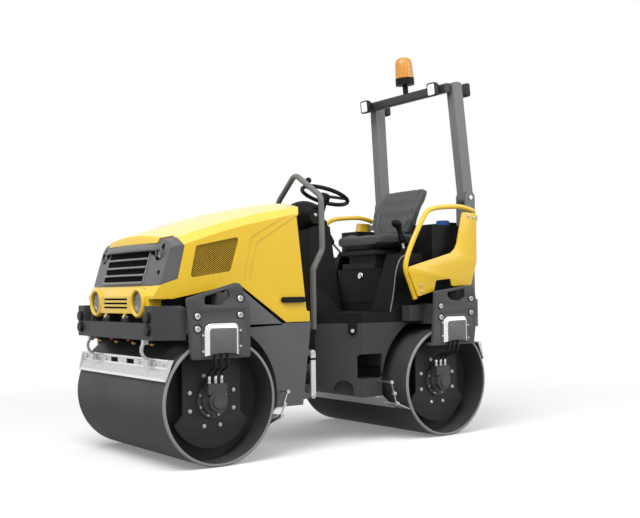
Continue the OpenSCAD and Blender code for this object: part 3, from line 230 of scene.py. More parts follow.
def leaning(points):
    """Points given on the folding frame's own axes, leant forward about the hinge and moved to it."""
    points = np.asarray(points, float)
    c, s = math.cos(POST_LEAN), math.sin(POST_LEAN)
    x, y, z = points[..., 0], points[..., 1], points[..., 2]
    return np.stack([c * x + s * z, y, c * z - s * x], axis=-1) + POST_PIN


def piece(name, part, body, slot, finish=None, sharp=35.0):
    """A mesh object from points and faces, its doubles merged and its faces turned outwards, riding on a body;
    its finish is the slot's own unless another is named."""
    points, faces = part
    mesh = bpy.data.meshes.new(name)
    mesh.from_pydata(np.asarray(points, float), [], faces if isinstance(faces, list) else faces.tolist())
    shape = bmesh.new()
    shape.from_mesh(mesh)
    bmesh.ops.remove_doubles(shape, verts=shape.verts, dist=1e-6)
    bmesh.ops.recalc_face_normals(shape, faces=shape.faces)
    shape.to_mesh(mesh)
    shape.free()
    mesh.shade_smooth()
    mesh.set_sharp_from_angle(angle=math.radians(sharp))
    made = bpy.data.objects.new(name, mesh)
    bpy.context.scene.collection.objects.link(made)
    mesh.materials.append(MATERIALS[finish or slot])
    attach(made, body)
    return made


# Finishes

class Finish:
    """One node material around a single Principled shader."""

    def __init__(self, name, colour, rough, metal=0.0):
        self.material = bpy.data.materials.new(name)
        self.material.use_nodes = True
        self.tree = self.material.node_tree
        self.shader = self.tree.nodes["Principled BSDF"]
        self.colour = tuple(colour[:3]) + (1.0,)
        self.rough = rough
        self.shader.inputs["Base Color"].default_value = self.colour
        self.shader.inputs["Roughness"].default_value = rough
        self.shader.inputs["Metallic"].default_value = metal
        self.place = self.node("ShaderNodeTexCoord").outputs["Object"]

    def node(self, kind, **values):
        """A new node; each value goes to the input of that name, or else to the setting."""
        made = self.tree.nodes.new(kind)
        for key, value in values.items():
            if key in made.inputs:
                made.inputs[key].default_value = value
            else:
                setattr(made, key, value)
        return made

    def link(self, source, target):
        self.tree.links.new(source, target)

    def noise(self, scale, detail=3.0, stretch=None):
        """Fractal noise over the piece, optionally stretched along an axis."""
        made = self.node("ShaderNodeTexNoise", Scale=scale, Detail=detail)
        source = self.place
        if stretch is not None:
            mapping = self.node("ShaderNodeMapping", Scale=stretch)
            self.link(source, mapping.inputs["Vector"])
            source = mapping.outputs["Vector"]
        self.link(source, made.inputs["Vector"])
        return made.outputs["Fac"]

    def ranged(self, source, low, high, to_low, to_high):
        """A value carried from one range to another along a straight line, and held at its ends."""
        made = self.node("ShaderNodeMapRange")
        for key, value in zip(("From Min", "From Max", "To Min", "To Max"), (low, high, to_low, to_high)):
            made.inputs[key].default_value = value
        self.link(source, made.inputs["Value"])
        return made.outputs["Result"]

    def mix(self, factor, a, b):
        """Two colours mixed by a factor; either may be a socket or a plain colour."""
        made = self.node("ShaderNodeMix", data_type="RGBA")
        self.link(factor, made.inputs["Factor"])
        for key, value in ((6, a), (7, b)):
            if isinstance(value, bpy.types.NodeSocket):
                self.link(value, made.inputs[key])
            else:
                made.inputs[key].default_value = tuple(value[:3]) + (1.0,)
        return made.outputs[2]

    def mottled(self, amount, scale=5.0):
        """The colour a little lighter and darker in soft patches."""
        patches = self.noise(scale)
        darker = [c * (1.0 - amount) for c in self.colour[:3]]
        lighter = [min(1.0, c * (1.0 + amount)) for c in self.colour[:3]]
        self.shade = self.mix(self.ranged(patches, 0.3, 0.7, 0.0, 1.0), darker, lighter)
        self.link(self.shade, self.shader.inputs["Base Color"])
        self.link(self.ranged(patches, 0.3, 0.7, self.rough - 0.05, self.rough + 0.05),
                  self.shader.inputs["Roughness"])
        return self

    def dusty(self, amount, top=0.7, tint=(0.3, 0.28, 0.25)):
        """Dust that thickens towards the ground."""
        height = self.node("ShaderNodeSeparateXYZ")
        self.link(self.place, height.inputs["Vector"])
        low = self.ranged(height.outputs["Z"], 0.0, top, amount, 0.0)
        patchy = self.node("ShaderNodeMath", operation="MULTIPLY")
        self.link(low, patchy.inputs[0])
        self.link(self.noise(14.0, 5.0), patchy.inputs[1])
        self.shade = self.mix(patchy.outputs[0], self.shade, tint)
        self.link(self.shade, self.shader.inputs["Base Color"])
        return self

    def grained(self, scale, height, edge=0.0, source=None):
        """Fine relief, over edges that are rounded for the light."""
        bump = self.node("ShaderNodeBump", Strength=1.0, Distance=height)
        self.link(self.noise(scale, 2.0) if source is None else source, bump.inputs["Height"])
        if edge > 0.0:
            bevel = self.node("ShaderNodeBevel", samples=4, Radius=edge)
            self.link(bevel.outputs["Normal"], bump.inputs["Normal"])
        self.link(bump.outputs["Normal"], self.shader.inputs["Normal"])
        return self

    def set(self, **values):
        """Plain values for the shader's inputs, a space written as an underscore."""
        for key, value in values.items():
            self.shader.inputs[key.replace("_", " ")].default_value = value
        return self


def gloss_yellow(colours):
    """Gloss enamel, its colour paler where a face lies upwards: a painted highlight for the light from above."""
    made = Finish("yellow_enamel", colours.yellow, 0.32).mottled(0.03, 2.0)
    up = made.node("ShaderNodeSeparateXYZ")
    made.link(made.node("ShaderNodeTexCoord").outputs["Normal"], up.inputs["Vector"])
    # Faces that lie upwards mix towards a paler yellow: a painted highlight of the light from above.
    made.shade = made.mix(made.ranged(up.outputs["Z"], 0.5, 0.9, 0.0, 0.5), made.shade, colours.painted_top_highlight)
    made.link(made.shade, made.shader.inputs["Base Color"])
    return made.grained(220.0, 0.00006, 0.004).set(Coat_Weight=0.5, Coat_Roughness=0.16, Specular_IOR_Level=0.3)


def textured_grey(name, colour, rough=0.5, shine=0.3):
    """Enamel sprayed with a fine orange-peel grain, and dust low down."""
    return Finish(name, colour, rough).mottled(0.08).dusty(0.08).grained(900.0, 0.00025, 0.003).set(
        Specular_IOR_Level=shine)


def zinc_plate(name, colour):
    """Galvanised sheet: spangles are flat cells, each a little lighter or darker than the next."""
    made = Finish(name, colour, 0.38, 0.85)
    cells = made.node("ShaderNodeTexVoronoi", Scale=150.0)
    made.link(made.place, cells.inputs["Vector"])
    tone = made.node("ShaderNodeSeparateColor")
    made.link(cells.outputs["Color"], tone.inputs["Color"])
    dark = [c * 0.92 for c in made.colour[:3]]
    light = [min(1.0, c * 1.08) for c in made.colour[:3]]
    made.shade = made.mix(tone.outputs[0], dark, light)
    made.link(made.shade, made.shader.inputs["Base Color"])
    made.link(made.ranged(tone.outputs[1], 0.0, 1.0, 0.3, 0.48), made.shader.inputs["Roughness"])
    return made.grained(300.0, 0.00005, 0.002)


def drum_paint(name, colour):
    """Satin black rolled steel with faint rings round the drum and a bright band at each rim: a painted highlight on
    the edges.
    """
    made = Finish(name, colour, 0.42)
    made.mottled(0.12, 3.0)
    rings = made.noise(40.0, 4.0, stretch=(0.15, 6.0, 0.15))
    made.link(made.ranged(rings, 0.3, 0.7, 0.34, 0.5), made.shader.inputs["Roughness"])
    width = made.node("ShaderNodeSeparateXYZ")
    made.link(made.place, width.inputs["Vector"])
    across = made.node("ShaderNodeMath", operation="ABSOLUTE")
    made.link(width.outputs["Y"], across.inputs[0])
    # A light grey band at each rim: painted highlight.
    rim = made.ranged(across.outputs[0], 0.5915, 0.5945, 0.0, 0.75)
    made.shade = made.mix(rim, made.shade, (0.34, 0.35, 0.36))
    return made.dusty(0.06, 0.3).grained(60.0, 0.0001, 0.002).set(Specular_IOR_Level=0.12)


def moulded_black(name, colour, rough=0.55, shine=0.2):
    """Moulded plastic with a fine matt grain."""
    return Finish(name, colour, rough).mottled(0.15).grained(1400.0, 0.00022, 0.0035).set(Specular_IOR_Level=shine)


def seat_vinyl(name, colour):
    """Vinyl grain: small rounded cells with fine creases between them."""
    made = Finish(name, colour, 0.46).mottled(0.12, 9.0)
    cells = made.node("ShaderNodeTexVoronoi", feature="DISTANCE_TO_EDGE", Scale=420.0)
    made.link(made.place, cells.inputs["Vector"])
    return made.grained(0.0, 0.0004, 0.0, made.ranged(cells.outputs["Distance"], 0.0, 0.25, 0.0, 1.0)).set(
        Sheen_Weight=0.08)


def clear_lens(name, tint):
    """Clear moulded glass with shallow upright flutes."""
    made = Finish(name, tint, 0.06).mottled(0.02, 20.0)
    flutes = made.node("ShaderNodeTexWave", Scale=26.0, bands_direction="Y")
    made.link(made.place, flutes.inputs["Vector"])
    return made.grained(0.0, 0.0004, 0.0, flutes.outputs["Fac"]).set(Transmission_Weight=0.92, IOR=1.16)


def lamp_reflector(name):
    """Pressed metal, a little uneven, its colour darkened far below bright plating: painted shade inside the lamp."""
    made = Finish(name, (0.06, 0.061, 0.063), 0.25, 1.0)
    return made.mottled(0.08, 60.0).grained(120.0, 0.0002)


def frosted_lens(name):
    """A white diffusing lens moulded with rows of small square prisms."""
    made = Finish(name, (0.86, 0.88, 0.89), 0.22).mottled(0.02, 30.0)
    rows = made.node("ShaderNodeTexWave", Scale=34.0, bands_direction="Z")
    made.link(made.place, rows.inputs["Vector"])
    return made.grained(0.0, 0.0006, 0.0, rows.outputs["Fac"]).set(Emission_Color=WHITE,
                                                                 Emission_Strength=0.12)


def amber_dome(name, colour):
    """Tinted plastic that lets part of the light through."""
    return Finish(name, colour, 0.12).mottled(0.08, 12.0).set(Transmission_Weight=0.35, IOR=1.49,
                                                            Subsurface_Weight=0.2)


def make_finishes(colours):
    """One finish for each slot of the record, and the few that only new pieces use."""
    made = {
        "yellow_paint": gloss_yellow(colours),
        "frame_grey": textured_grey("frame_enamel", colours.frame),
        "dark_grey": textured_grey("dark_enamel", colours.dark, 0.5, 0.25),
        "post_grey": textured_grey("post_enamel", colours.post, 0.42),
        "fork_grey": textured_grey("fork_enamel", colours.fork),
        # Fork grey darkened for the legs, which sit in shade under the shelves: painted shade; the same tone is the
        # work lamp housings' own dark grey.
        "leg_shade_and_housing_grey": textured_grey("leg_shade_and_housing_enamel", (0.024, 0.025, 0.026), 0.5, 0.2),
        # Light silver with a large diffuse part for chrome stems: painted reflection of a bright surrounding.
        "stem_silver_painted_reflection": Finish("stem_silver_painted_reflection", (0.7, 0.71, 0.72), 0.42, 0.3).mottled(0.05, 30.0).grained(
            300.0, 0.00005),
        "silver_cover": Finish("cover_silver", colours.silver, 0.36, 0.5).mottled(0.05).grained(500.0, 0.0001, 0.003),
        "polished_edge": Finish("polished_edge", (0.8, 0.81, 0.82), 0.2, 0.9).mottled(0.04).grained(300.0, 0.00005),
        "hose_rubber": Finish("hose_rubber", (0.009, 0.009, 0.01), 0.5).mottled(0.2, 30.0).grained(700.0, 0.0003).set(
            Specular_IOR_Level=0.3),
        "zinc": zinc_plate("zinc_plate", colours.zinc),
        "bright_steel": Finish("rod_chrome", (0.62, 0.63, 0.64), 0.12, 1.0).mottled(0.04).grained(300.0, 0.00003),
        "drum_steel": drum_paint("drum_paint", colours.drum),
        "engine_black": textured_grey("engine_black", (0.012, 0.012, 0.013), 0.55, 0.2),
        "grille_plastic": moulded_black("grille_plastic", colours.grille, 0.42, 0.4),
        "lamp_lens": clear_lens("lamp_glass", (0.95, 0.97, 0.98)),
        "mesh_steel": textured_grey("mesh_enamel", colours.mesh, 0.45),
        "black_plastic": moulded_black("black_moulding", (0.0055, 0.0055, 0.006), 0.5, 0.14),
        # Near-black for the sheets that stand in for shade in the grille: painted shade.
        "painted_shade_black": moulded_black("painted_shade_black", (0.003, 0.003, 0.003), 0.8, 0.04),
        # Grey for the grille's blades, their own colour, and for the fender's beads, where it is a painted highlight.
        "grey_blades_and_highlight_beads": moulded_black("grey_blades_and_highlight_beads", (0.2, 0.205, 0.21), 0.4, 0.4),
        "seat_vinyl": seat_vinyl("seat_vinyl", colours.seat),
        "blue_plastic": Finish("cap_blue", (0.008, 0.075, 0.33), 0.3).mottled(0.06).grained(300.0, 0.0001, 0.002),
        "amber_lens": amber_dome("beacon_amber", colours.amber),
        "reflector": lamp_reflector("lamp_reflector"),
        "bolt_steel": Finish("bolt_steel", (0.58, 0.59, 0.6), 0.3, 0.9).mottled(0.12, 40.0).grained(
            260.0, 0.0001, 0.001),
        "lamp_white": frosted_lens("lamp_white"),
        "nozzle_yellow": Finish("nozzle_yellow", (0.8, 0.42, 0.01), 0.35).mottled(0.05, 40.0).grained(300.0, 0.0001),
        "red_plastic": Finish("stop_red", (0.5, 0.012, 0.01), 0.3).mottled(0.06, 20.0).grained(300.0, 0.0001),
    }
    MATERIALS.update({slot: finish.material for slot, finish in made.items()})


# Settings that a user would change

def colour(name, description, default):
    """A colour that the user may change."""
    return bpy.props.FloatVectorProperty(name=name, description=description, subtype="COLOR", size=3,
                                         min=0.0, max=1.0, default=default)


class RollerColours(bpy.types.PropertyGroup):
    yellow: colour("Yellow", "Enamel of the hood and guards", (0.78, 0.5, 0.012))
    # A paler yellow mixed into faces that lie upwards: painted highlight.
    painted_top_highlight: colour("Painted top highlight", "Yellow enamel paler on upward faces: painted highlight", (0.84, 0.6, 0.25))
    frame: colour("Frame", "Enamel of the frames and rails", (0.095, 0.098, 0.102))
    dark: colour("Dark grey", "Enamel of the bumpers and the rear frame", (0.042, 0.044, 0.046))
    post: colour("Posts", "Enamel of the roll-over frame and handrail", (0.15, 0.155, 0.16))
    fork: colour("Forks", "Enamel of the forks and motors", (0.062, 0.064, 0.067))
    silver: colour("Silver", "Finish of the hose covers", (0.14, 0.144, 0.148))
    zinc: colour("Zinc", "Galvanised sheet of the scrapers", (0.62, 0.63, 0.64))
    drum: colour("Drums", "Paint of the drums", (0.055, 0.057, 0.06))
    grille: colour("Grille", "Moulding of the grille", (0.1, 0.102, 0.105))
    mesh: colour("Mesh", "Enamel of the hood's mesh", (0.6, 0.37, 0.03))
    seat: colour("Seat", "Vinyl of the seat", (0.045, 0.047, 0.05))
    amber: colour("Amber", "Dome of the beacon", (0.8, 0.36, 0.05))


class RollerSizes(bpy.types.PropertyGroup):
    bolt_radius: bpy.props.FloatProperty(name="Bolt head", description="Radius of a fork bolt's head",
                                         subtype="DISTANCE", unit="LENGTH", default=0.017, min=0.01, max=0.03)
    mesh_pitch: bpy.props.FloatProperty(name="Mesh pitch", description="Distance between the mesh's wires",
                                        subtype="DISTANCE", unit="LENGTH", default=0.0095, min=0.006, max=0.03)
    seat_bolster: bpy.props.FloatProperty(name="Bolster", description="Rise of the seat's side bolsters",
                                          subtype="DISTANCE", unit="LENGTH", default=0.036, min=0.0, max=0.05)
    piping: bpy.props.FloatProperty(name="Piping", description="Radius of the seat's sewn piping",
                                    subtype="DISTANCE", unit="LENGTH", default=0.0035, min=0.001, max=0.008)


class RollerStage(bpy.types.PropertyGroup):
    floor: colour("Floor", "Colour of the floor", (0.93, 0.93, 0.93))
    bounce: colour("Bounce", "Colour of the light that the floor throws back", (0.4, 0.4, 0.4))
    ambient: bpy.props.FloatProperty(name="Ambient", description="Strength of the room's even light",
                                     default=0.6, min=0.0, max=1.5)
    key: bpy.props.FloatProperty(name="Key", description="Power of the main lamp", subtype="POWER", unit="POWER",
                                 default=330.0, min=0.0, max=2000.0)
    lens: bpy.props.FloatProperty(name="Lens", description="Focal length of the camera", subtype="DISTANCE_CAMERA",
                                  default=53.164, min=20.0, max=120.0)


# Operators, one for each piece or group of like pieces

class ROLLER_OT_finishes(bpy.types.Operator):
    """Makes the finishes and gives each solid its own"""
    bl_idname = "roller.finishes"
    bl_label = "Finishes"

    def execute(self, context):
        make_finishes(context.scene.roller_colours)
        own = dict.fromkeys(("front_bumper", "rear_bumper", "rear_frame", "knuckle", "rops_crossbar"), "dark_grey")
        own["lock_bar"] = "zinc"
        for row in frame["record"]["subparts"]:
            mesh = frame["nodes"][row["node"]].data
            mesh.materials.clear()
            mesh.materials.append(MATERIALS[own.get(row["node"], row["material_slot"])])
        return {"FINISHED"}


def rounded(t, power):
    """1 in the middle of 0..1, falling to 0 at both ends along a superellipse of the given power."""
    return np.maximum(0.0, 1.0 - np.abs(2.0 * t - 1.0) ** power) ** (1.0 / power)


VALLEY_AT = 0.7
VALLEY_WIDTH = 0.045
SWELL = 0.006


def pad(sections, count, centre, across, thick, half_width, half_thick, hollow, crease, power=3.2, wrap=0.0):
    """A closed pad: at each section a superellipse of half width w and half thickness t, whose face side rises
    with the fourth power of the distance a from the middle, so that bolsters stand at the sides, less a narrow
    valley, the crease times exp(-((a - its place) / its width)^2), where each bolster is sewn to the middle; the
    wrap bends both faces forward with the power 2.5 of that distance."""
    turn = np.linspace(0.0, 2.0 * np.pi, count, endpoint=False)
    cos, sin = np.cos(turn), np.sin(turn)
    a = np.sign(cos) * np.abs(cos) ** (2.0 / power)
    b = np.sign(sin) * np.abs(sin) ** (2.0 / power)
    rise = hollow[:, None] * (np.abs(a) ** 4)[None, :] * np.clip(b, 0.0, 1.0)[None, :]
    valley = np.exp(-((np.abs(a) - VALLEY_AT) / VALLEY_WIDTH) ** 2) * np.clip(3.0 * b, 0.0, 1.0)
    rise = rise - crease[:, None] * valley[None, :]
    w = half_width[:, None] * a[None, :]
    t = half_thick[:, None] * b[None, :] + rise + np.outer(wrap * np.ones(sections), np.abs(a) ** 2.5)
    points = centre[:, None, :] + w[..., None] * across + t[..., None] * thick[:, None, :]
    return points.reshape(-1, 3), grid_faces(sections, count, wrap_columns=True)


def stuffed(made, cap=SWELL, voxel=0.006, pressure=4.0, frames=20):
    """Fills a pad as foam fills its cover: a remeshed copy is blown out as cloth under pressure, a point that moved
    by m keeps m min(1, cap / |m|) of its way, and the result takes the place of the pad's mesh, with one
    subdivision. Gives back the skin, for the piping to be sewn to."""
    scene = bpy.context.scene
    shell = bpy.data.objects.new("shell", made.data)
    scene.collection.objects.link(shell)
    weave = shell.modifiers.new("weave", "REMESH")
    weave.mode, weave.voxel_size = "VOXEL", voxel
    woven = bpy.data.meshes.new_from_object(shell.evaluated_get(bpy.context.evaluated_depsgraph_get()))
    shell.modifiers.clear()
    shell.data = woven
    rest, blown = np.empty(3 * len(woven.vertices)), np.empty(3 * len(woven.vertices))
    woven.vertices.foreach_get("co", rest)
    cover = shell.modifiers.new("cover", "CLOTH")
    cover.settings.use_pressure = True
    cover.settings.uniform_pressure_force = pressure
    cover.settings.effector_weights.gravity = 0.0
    cover.point_cache.frame_start, cover.point_cache.frame_end = 1, frames
    for step in range(1, frames + 1):
        scene.frame_set(step)
    shell.evaluated_get(bpy.context.evaluated_depsgraph_get()).data.vertices.foreach_get("co", blown)
    scene.frame_set(1)
    move = (blown - rest).reshape(-1, 3)
    way = np.maximum(np.linalg.norm(move, axis=1), 1e-9)[:, None]
    woven.vertices.foreach_set("co", (rest.reshape(-1, 3) + move * np.minimum(1.0, cap / way)).ravel())
    bpy.data.objects.remove(shell)
    woven.materials.clear()
    woven.materials.append(made.data.materials[0])
    woven.shade_smooth()
    made.data = woven
    finer = made.modifiers.new("finer", "SUBSURF")
    finer.levels = finer.render_levels = 1
    return BVHTree.FromObject(made, bpy.context.evaluated_depsgraph_get())


def seam(points, rows, columns, keep, radius, skin):
    """A tube of piping sewn to a pad's skin along a line of its first grid: the kept rows and columns, in order."""
    line = points.reshape(rows, columns, 3)[keep]
    return tube([skin.find_nearest(point)[0] for point in line], radius, 8)


class ROLLER_OT_seat(bpy.types.Operator):
    """Makes the padded cushion and backrest with their bolsters and sewn piping"""
    bl_idname = "roller.seat"
    bl_label = "Seat"

    def execute(self, context):
        sizes = context.scene.roller_sizes
        sections, around = 64, 96
        s = np.linspace(0.0, 1.0, sections)
        across = np.array((0.0, 1.0, 0.0))

        low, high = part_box("seat_cushion")
        ends = rounded(s, 7.0)
        top, base = low.z + 0.096, low.z + 0.03
        middle = 0.5 * (base + top)
        waist = 0.003 * np.cos(6.0 * np.pi * s)
        centre = np.stack([low.x + (high.x - low.x) * s, 0.0 * s, middle + 0.004 * np.sin(np.pi * s)], axis=1)
        up = np.tile(np.array((0.0, 0.0, 1.0)), (sections, 1))
        half_w = high.y * (0.9 + 0.1 * ends) * (ends > 0)
        half_t = (0.5 * (top - base) + waist) * ends
        bolster = sizes.seat_bolster * ends * np.clip((1.0 - s) / 0.25, 0.0, 1.0) ** 0.5
        form = pad(sections, around, centre, across, up, half_w, half_t, bolster, 0.006 * ends, 4.5)
        cushion = piece("seat_cushion_pad", form, "rear", "seat_vinyl", sharp=80.0)
        skin = stuffed(cushion)
        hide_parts("seat_cushion")
        size_x, size_y = 0.5 * (high.x - low.x), high.y
        rows = [(0.0, 0.0, 0.0), (0.0, 0.84 * size_x, 0.84 * size_y), (0.006, 0.9 * size_x, 0.9 * size_y),
                (0.028, 0.94 * size_x, 0.95 * size_y), (0.034, 0.94 * size_x, 0.95 * size_y), (0.034, 0.0, 0.0)]
        points, faces = loft(rows, 64, 6.0)
        under = np.array((0.5 * (low.x + high.x), 0.0, low.z + 0.001))
        piece("seat_pan", (points + under, faces), "rear", "black_plastic", sharp=40.0)
        seams = [(slice(3, sections - 3), 11), (slice(3, sections - 3), 37), (sections - 6, slice(3, 46))]
        lines = [seam(form[0], sections, around, keep, sizes.piping, skin) for keep in seams]
        piece("seat_cushion_piping", joined(lines), "rear", "seat_vinyl", sharp=80.0)

        low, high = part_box("seat_backrest")
        ends = rounded(0.5 + 0.5 * s, 10.0)
        foot, head = np.array((-0.948, 0.0, low.z - 0.034)), np.array((-1.07, 0.0, high.z + 0.004))
        centre = foot + (head - foot) * s[:, None]
        lean = (head - foot) / np.linalg.norm(head - foot)
        face = np.tile(np.array((lean[2], 0.0, -lean[0])), (sections, 1))
        wing = np.interp(s, (0.0, 0.2, 0.45, 0.75, 1.0), (0.83, 0.96, 1.03, 1.05, 1.05))
        half_w = high.y * wing * ends
        swell = ends * np.where(s == 0.0, 0.0, 1.0)
        half_t = (0.048 - 0.014 * s + 0.002 * np.cos(8.0 * np.pi * s)) * swell
        wrap = np.interp(s, (0.0, 0.25, 0.5, 0.8, 1.0), (0.03, 0.055, 0.058, 0.026, 0.0))
        form = pad(sections, around, centre, across, face, half_w, half_t, 0.5 * sizes.seat_bolster * swell,
                   0.009 * swell, wrap=wrap)
        back = piece("seat_back_pad", form, "rear", "seat_vinyl", sharp=80.0)
        skin = stuffed(back)
        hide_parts("seat_backrest")
        seams = [(slice(2, sections - 4), 12), (slice(2, sections - 4), 36)]
        lines = [seam(form[0], sections, around, keep, sizes.piping, skin) for keep in seams]
        piece("seat_back_piping", joined(lines), "rear", "seat_vinyl", sharp=80.0)
        return {"FINISHED"}


SINK = 0.5 * MM
WASHER = 3.0 * MM


def hex_bolt(radius, height, washer):
    """A hexagon head with a chamfered top, on a round washer with a rounded rim."""
    head = [(0.0, 0.0), (radius, 0.0), (radius, 0.8 * height), (0.86 * radius, height), (0.0, height)]
    disc = [(0.0, -SINK), (washer, -SINK), (washer, 2.2 * MM), (washer - 0.8 * MM, WASHER), (0.0, WASHER)]
    points, faces = spin(head, 6)
    return joined([(points + np.array((0.0, 0.0, WASHER)), faces), spin(disc, 24)])


def socket_bolt(radius, height):
    """A round head with a rolled edge and a six-sided socket sunk into it."""
    edge, mouth, bottom = 0.12 * radius, 0.52 * radius, 0.35 * height
    rim = [(mouth, height), (radius - edge, height), (radius, height - edge), (radius, -SINK), (0.0, -SINK)]
    socket = [(0.0, bottom), (0.46 * radius, bottom), (mouth, height)]
    return joined([spin(rim, 30), spin(socket, 6)])


class ROLLER_OT_bolts(bpy.types.Operator):
    """Makes the bolts of the forks, covers, motors, legs, guards, sills and lock bar"""
    bl_idname = "roller.bolts"
    bl_label = "Bolts"

    def execute(self, context):
        sizes = context.scene.roller_sizes
        big = socket_bolt(sizes.bolt_radius, 14.0 * MM)
        small = hex_bolt(9.0 * MM, 7.0 * MM, 12.0 * MM)
        button = socket_bolt(7.0 * MM, 6.0 * MM)
        guard_bolt = socket_bolt(10.0 * MM, 7.0 * MM)
        sill_bolt = socket_bolt(12.0 * MM, 8.0 * MM)
        lock_bolt = socket_bolt(11.0 * MM, 5.0 * MM)
        rims = {"front": ((0.095, 0.735), (0.095, 0.647), (-0.144, 0.756), (-0.144, 0.668)),
                "rear": ((0.117, 0.751), (0.117, 0.664), (-0.117, 0.729), (-0.117, 0.644))}
        flange = np.radians(np.arange(0.0, 360.0, 45.0) + 22.5)
        leg = np.radians((20.0, 70.0, 160.0, 200.0, 250.0, 290.0, 340.0))
        for body, way in UNITS:
            parts = []
            for side in SIDES:
                out = (0.0, side, 0.0)
                parts += [set_at(big, (way * FORK_X + dx, side * RECESS_Y, z), out) for dx, z in FORK_BOLTS[body]]
                parts += [set_at(button, (way * FORK_X + dx, side * RIM_Y, z), out) for dx, z in rims[body]]
                parts += [set_at(button, (way * AXLE_X + FLANGE_CIRCLE * math.cos(a), side * FLANGE_Y,
                                          AXLE_Z + FLANGE_CIRCLE * math.sin(a)), out) for a in flange]
                parts += [set_at(small, (way * AXLE_X + LEG_CIRCLE * math.cos(a), side * LEG_FACE_Y,
                                         AXLE_Z + LEG_CIRCLE * math.sin(a)), out) for a in leg]
                if body == "rear":
                    parts += [set_at(guard_bolt, (x, side * GUARD_FACE_Y, z), out)
                              for x, z in ((-1.155, 1.463), (-1.105, 1.468), (-0.655, 1.0), (-0.668, 0.958))]
                    parts.append(set_at(sill_bolt, (-0.2113, side * 0.419, 0.712), (0.657, side * 0.753, 0.0)))
                elif side > 0.0:
                    parts += [set_at(lock_bolt, (0.168, side * 0.514, z), out) for z in (0.335, 0.595)]
            piece(f"{body}_bolts", joined(parts), body, "zinc", "bolt_steel")
        return {"FINISHED"}


def cover_foot(x, centre):
    """How high a hose cover's lower edge lies: on a circle whose middle is below the cover's own."""
    return COVER_FOOT_Z + np.sqrt(COVER_FOOT_RADIUS ** 2 - (x - centre) ** 2)


def arch(middle, sides, top, inset):
    """The outline of a hose cover in X and Z, drawn in by the inset: up one side, round two quarter circles and
    down the other."""
    low, high, head = middle + sides[0] + inset, middle + sides[1] - inset, top - inset
    near, far = max(0.036 - inset, 0.008), max(0.048 - inset, 0.014)
    a = np.linspace(0.0, np.pi / 2.0, 13)
    up = np.stack([high - far + far * np.cos(a), head - far + far * np.sin(a)], axis=1)
    down = np.stack([low + near - near * np.sin(a), head - near + near * np.cos(a)], axis=1)
    centre = middle + 0.5 * sum(sides)
    return np.concatenate([[(high, cover_foot(high, centre))], up, down, [(low, cover_foot(low, centre))]])


def swept(lines):
    """A strip whose rows are lines of equal length: the rows close on themselves and both ends are capped."""
    rows, columns = len(lines), len(lines[0])
    points = np.concatenate(lines)
    faces = grid_faces(rows, columns, wrap_rows=True).tolist()
    ends = [(np.arange(rows) * columns + k).tolist() for k in (0, columns - 1)]
    return points, faces + ends


COVERS = (("front", FORK_X, (-0.135, 0.086), 0.8), ("rear", -FORK_X, (-0.108, 0.108), 0.791))


class ROLLER_OT_covers(bpy.types.Operator):
    """Makes the hose covers: a polished bevel bent round an arch, and the flat face that it frames"""
    bl_idname = "roller.covers"
    bl_label = "Hose covers"

    def execute(self, context):
        band = ((0.0, 0.6372), (0.0, 0.6452), (0.0012, 0.6468), (0.0225, 0.6586), (0.025, 0.6592), (0.025, 0.6572),
                (0.004, 0.6446), (0.004, 0.6372))
        for body, middle, sides, top in COVERS:
            bevel = swept([upright(arch(middle, sides, top, inset), y) for inset, y in band])
            edges = piece(f"{body}_cover_edges", paired([bevel]), body, "silver_cover", "polished_edge", 30.0)
            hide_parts(f"{body}_covers")
            line = arch(middle, sides, top, 0.0245)
            x = np.linspace(line[-1, 0], line[0, 0], 12)[1:-1]
            foot = np.stack([x, cover_foot(x, middle + 0.5 * sum(sides))], axis=1)
            face = plate([np.concatenate([line, foot])], 0.656, 0.6587, 0.0003)
            piece(f"{body}_cover_faces", paired([face]), body, "silver_cover")
        return {"FINISHED"}


FORK_OUTLINES = {
    "front": ((-0.213, 0.603), (0.161, 0.603), (0.19, 0.94), (-0.12, 1.024), (-0.15, 1.018), (-0.213, 0.892)),
    "rear": ((-0.178, 0.603), (0.198, 0.603), (0.17, 0.96), (-0.155, 0.996), (-0.19, 0.978), (-0.218, 0.846)),
}
FORK_SLOTS = {
    "front": ((0.08, 0.904), (-0.028, 0.898), (-0.084, 0.945), (-0.07, 0.988), (0.08, 0.948)),
    "rear": ((0.06, 0.925), (0.03, 0.901), (-0.048, 0.893), (-0.103, 0.918), (-0.095, 0.975), (0.058, 0.953)),
}
FORK_BOLTS = {"front": ((0.127, 0.771), (0.127, 0.841), (-0.145, 0.843), (-0.145, 0.935)),
              "rear": ((0.125, 0.788), (0.125, 0.861), (-0.153, 0.813), (-0.153, 0.906))}


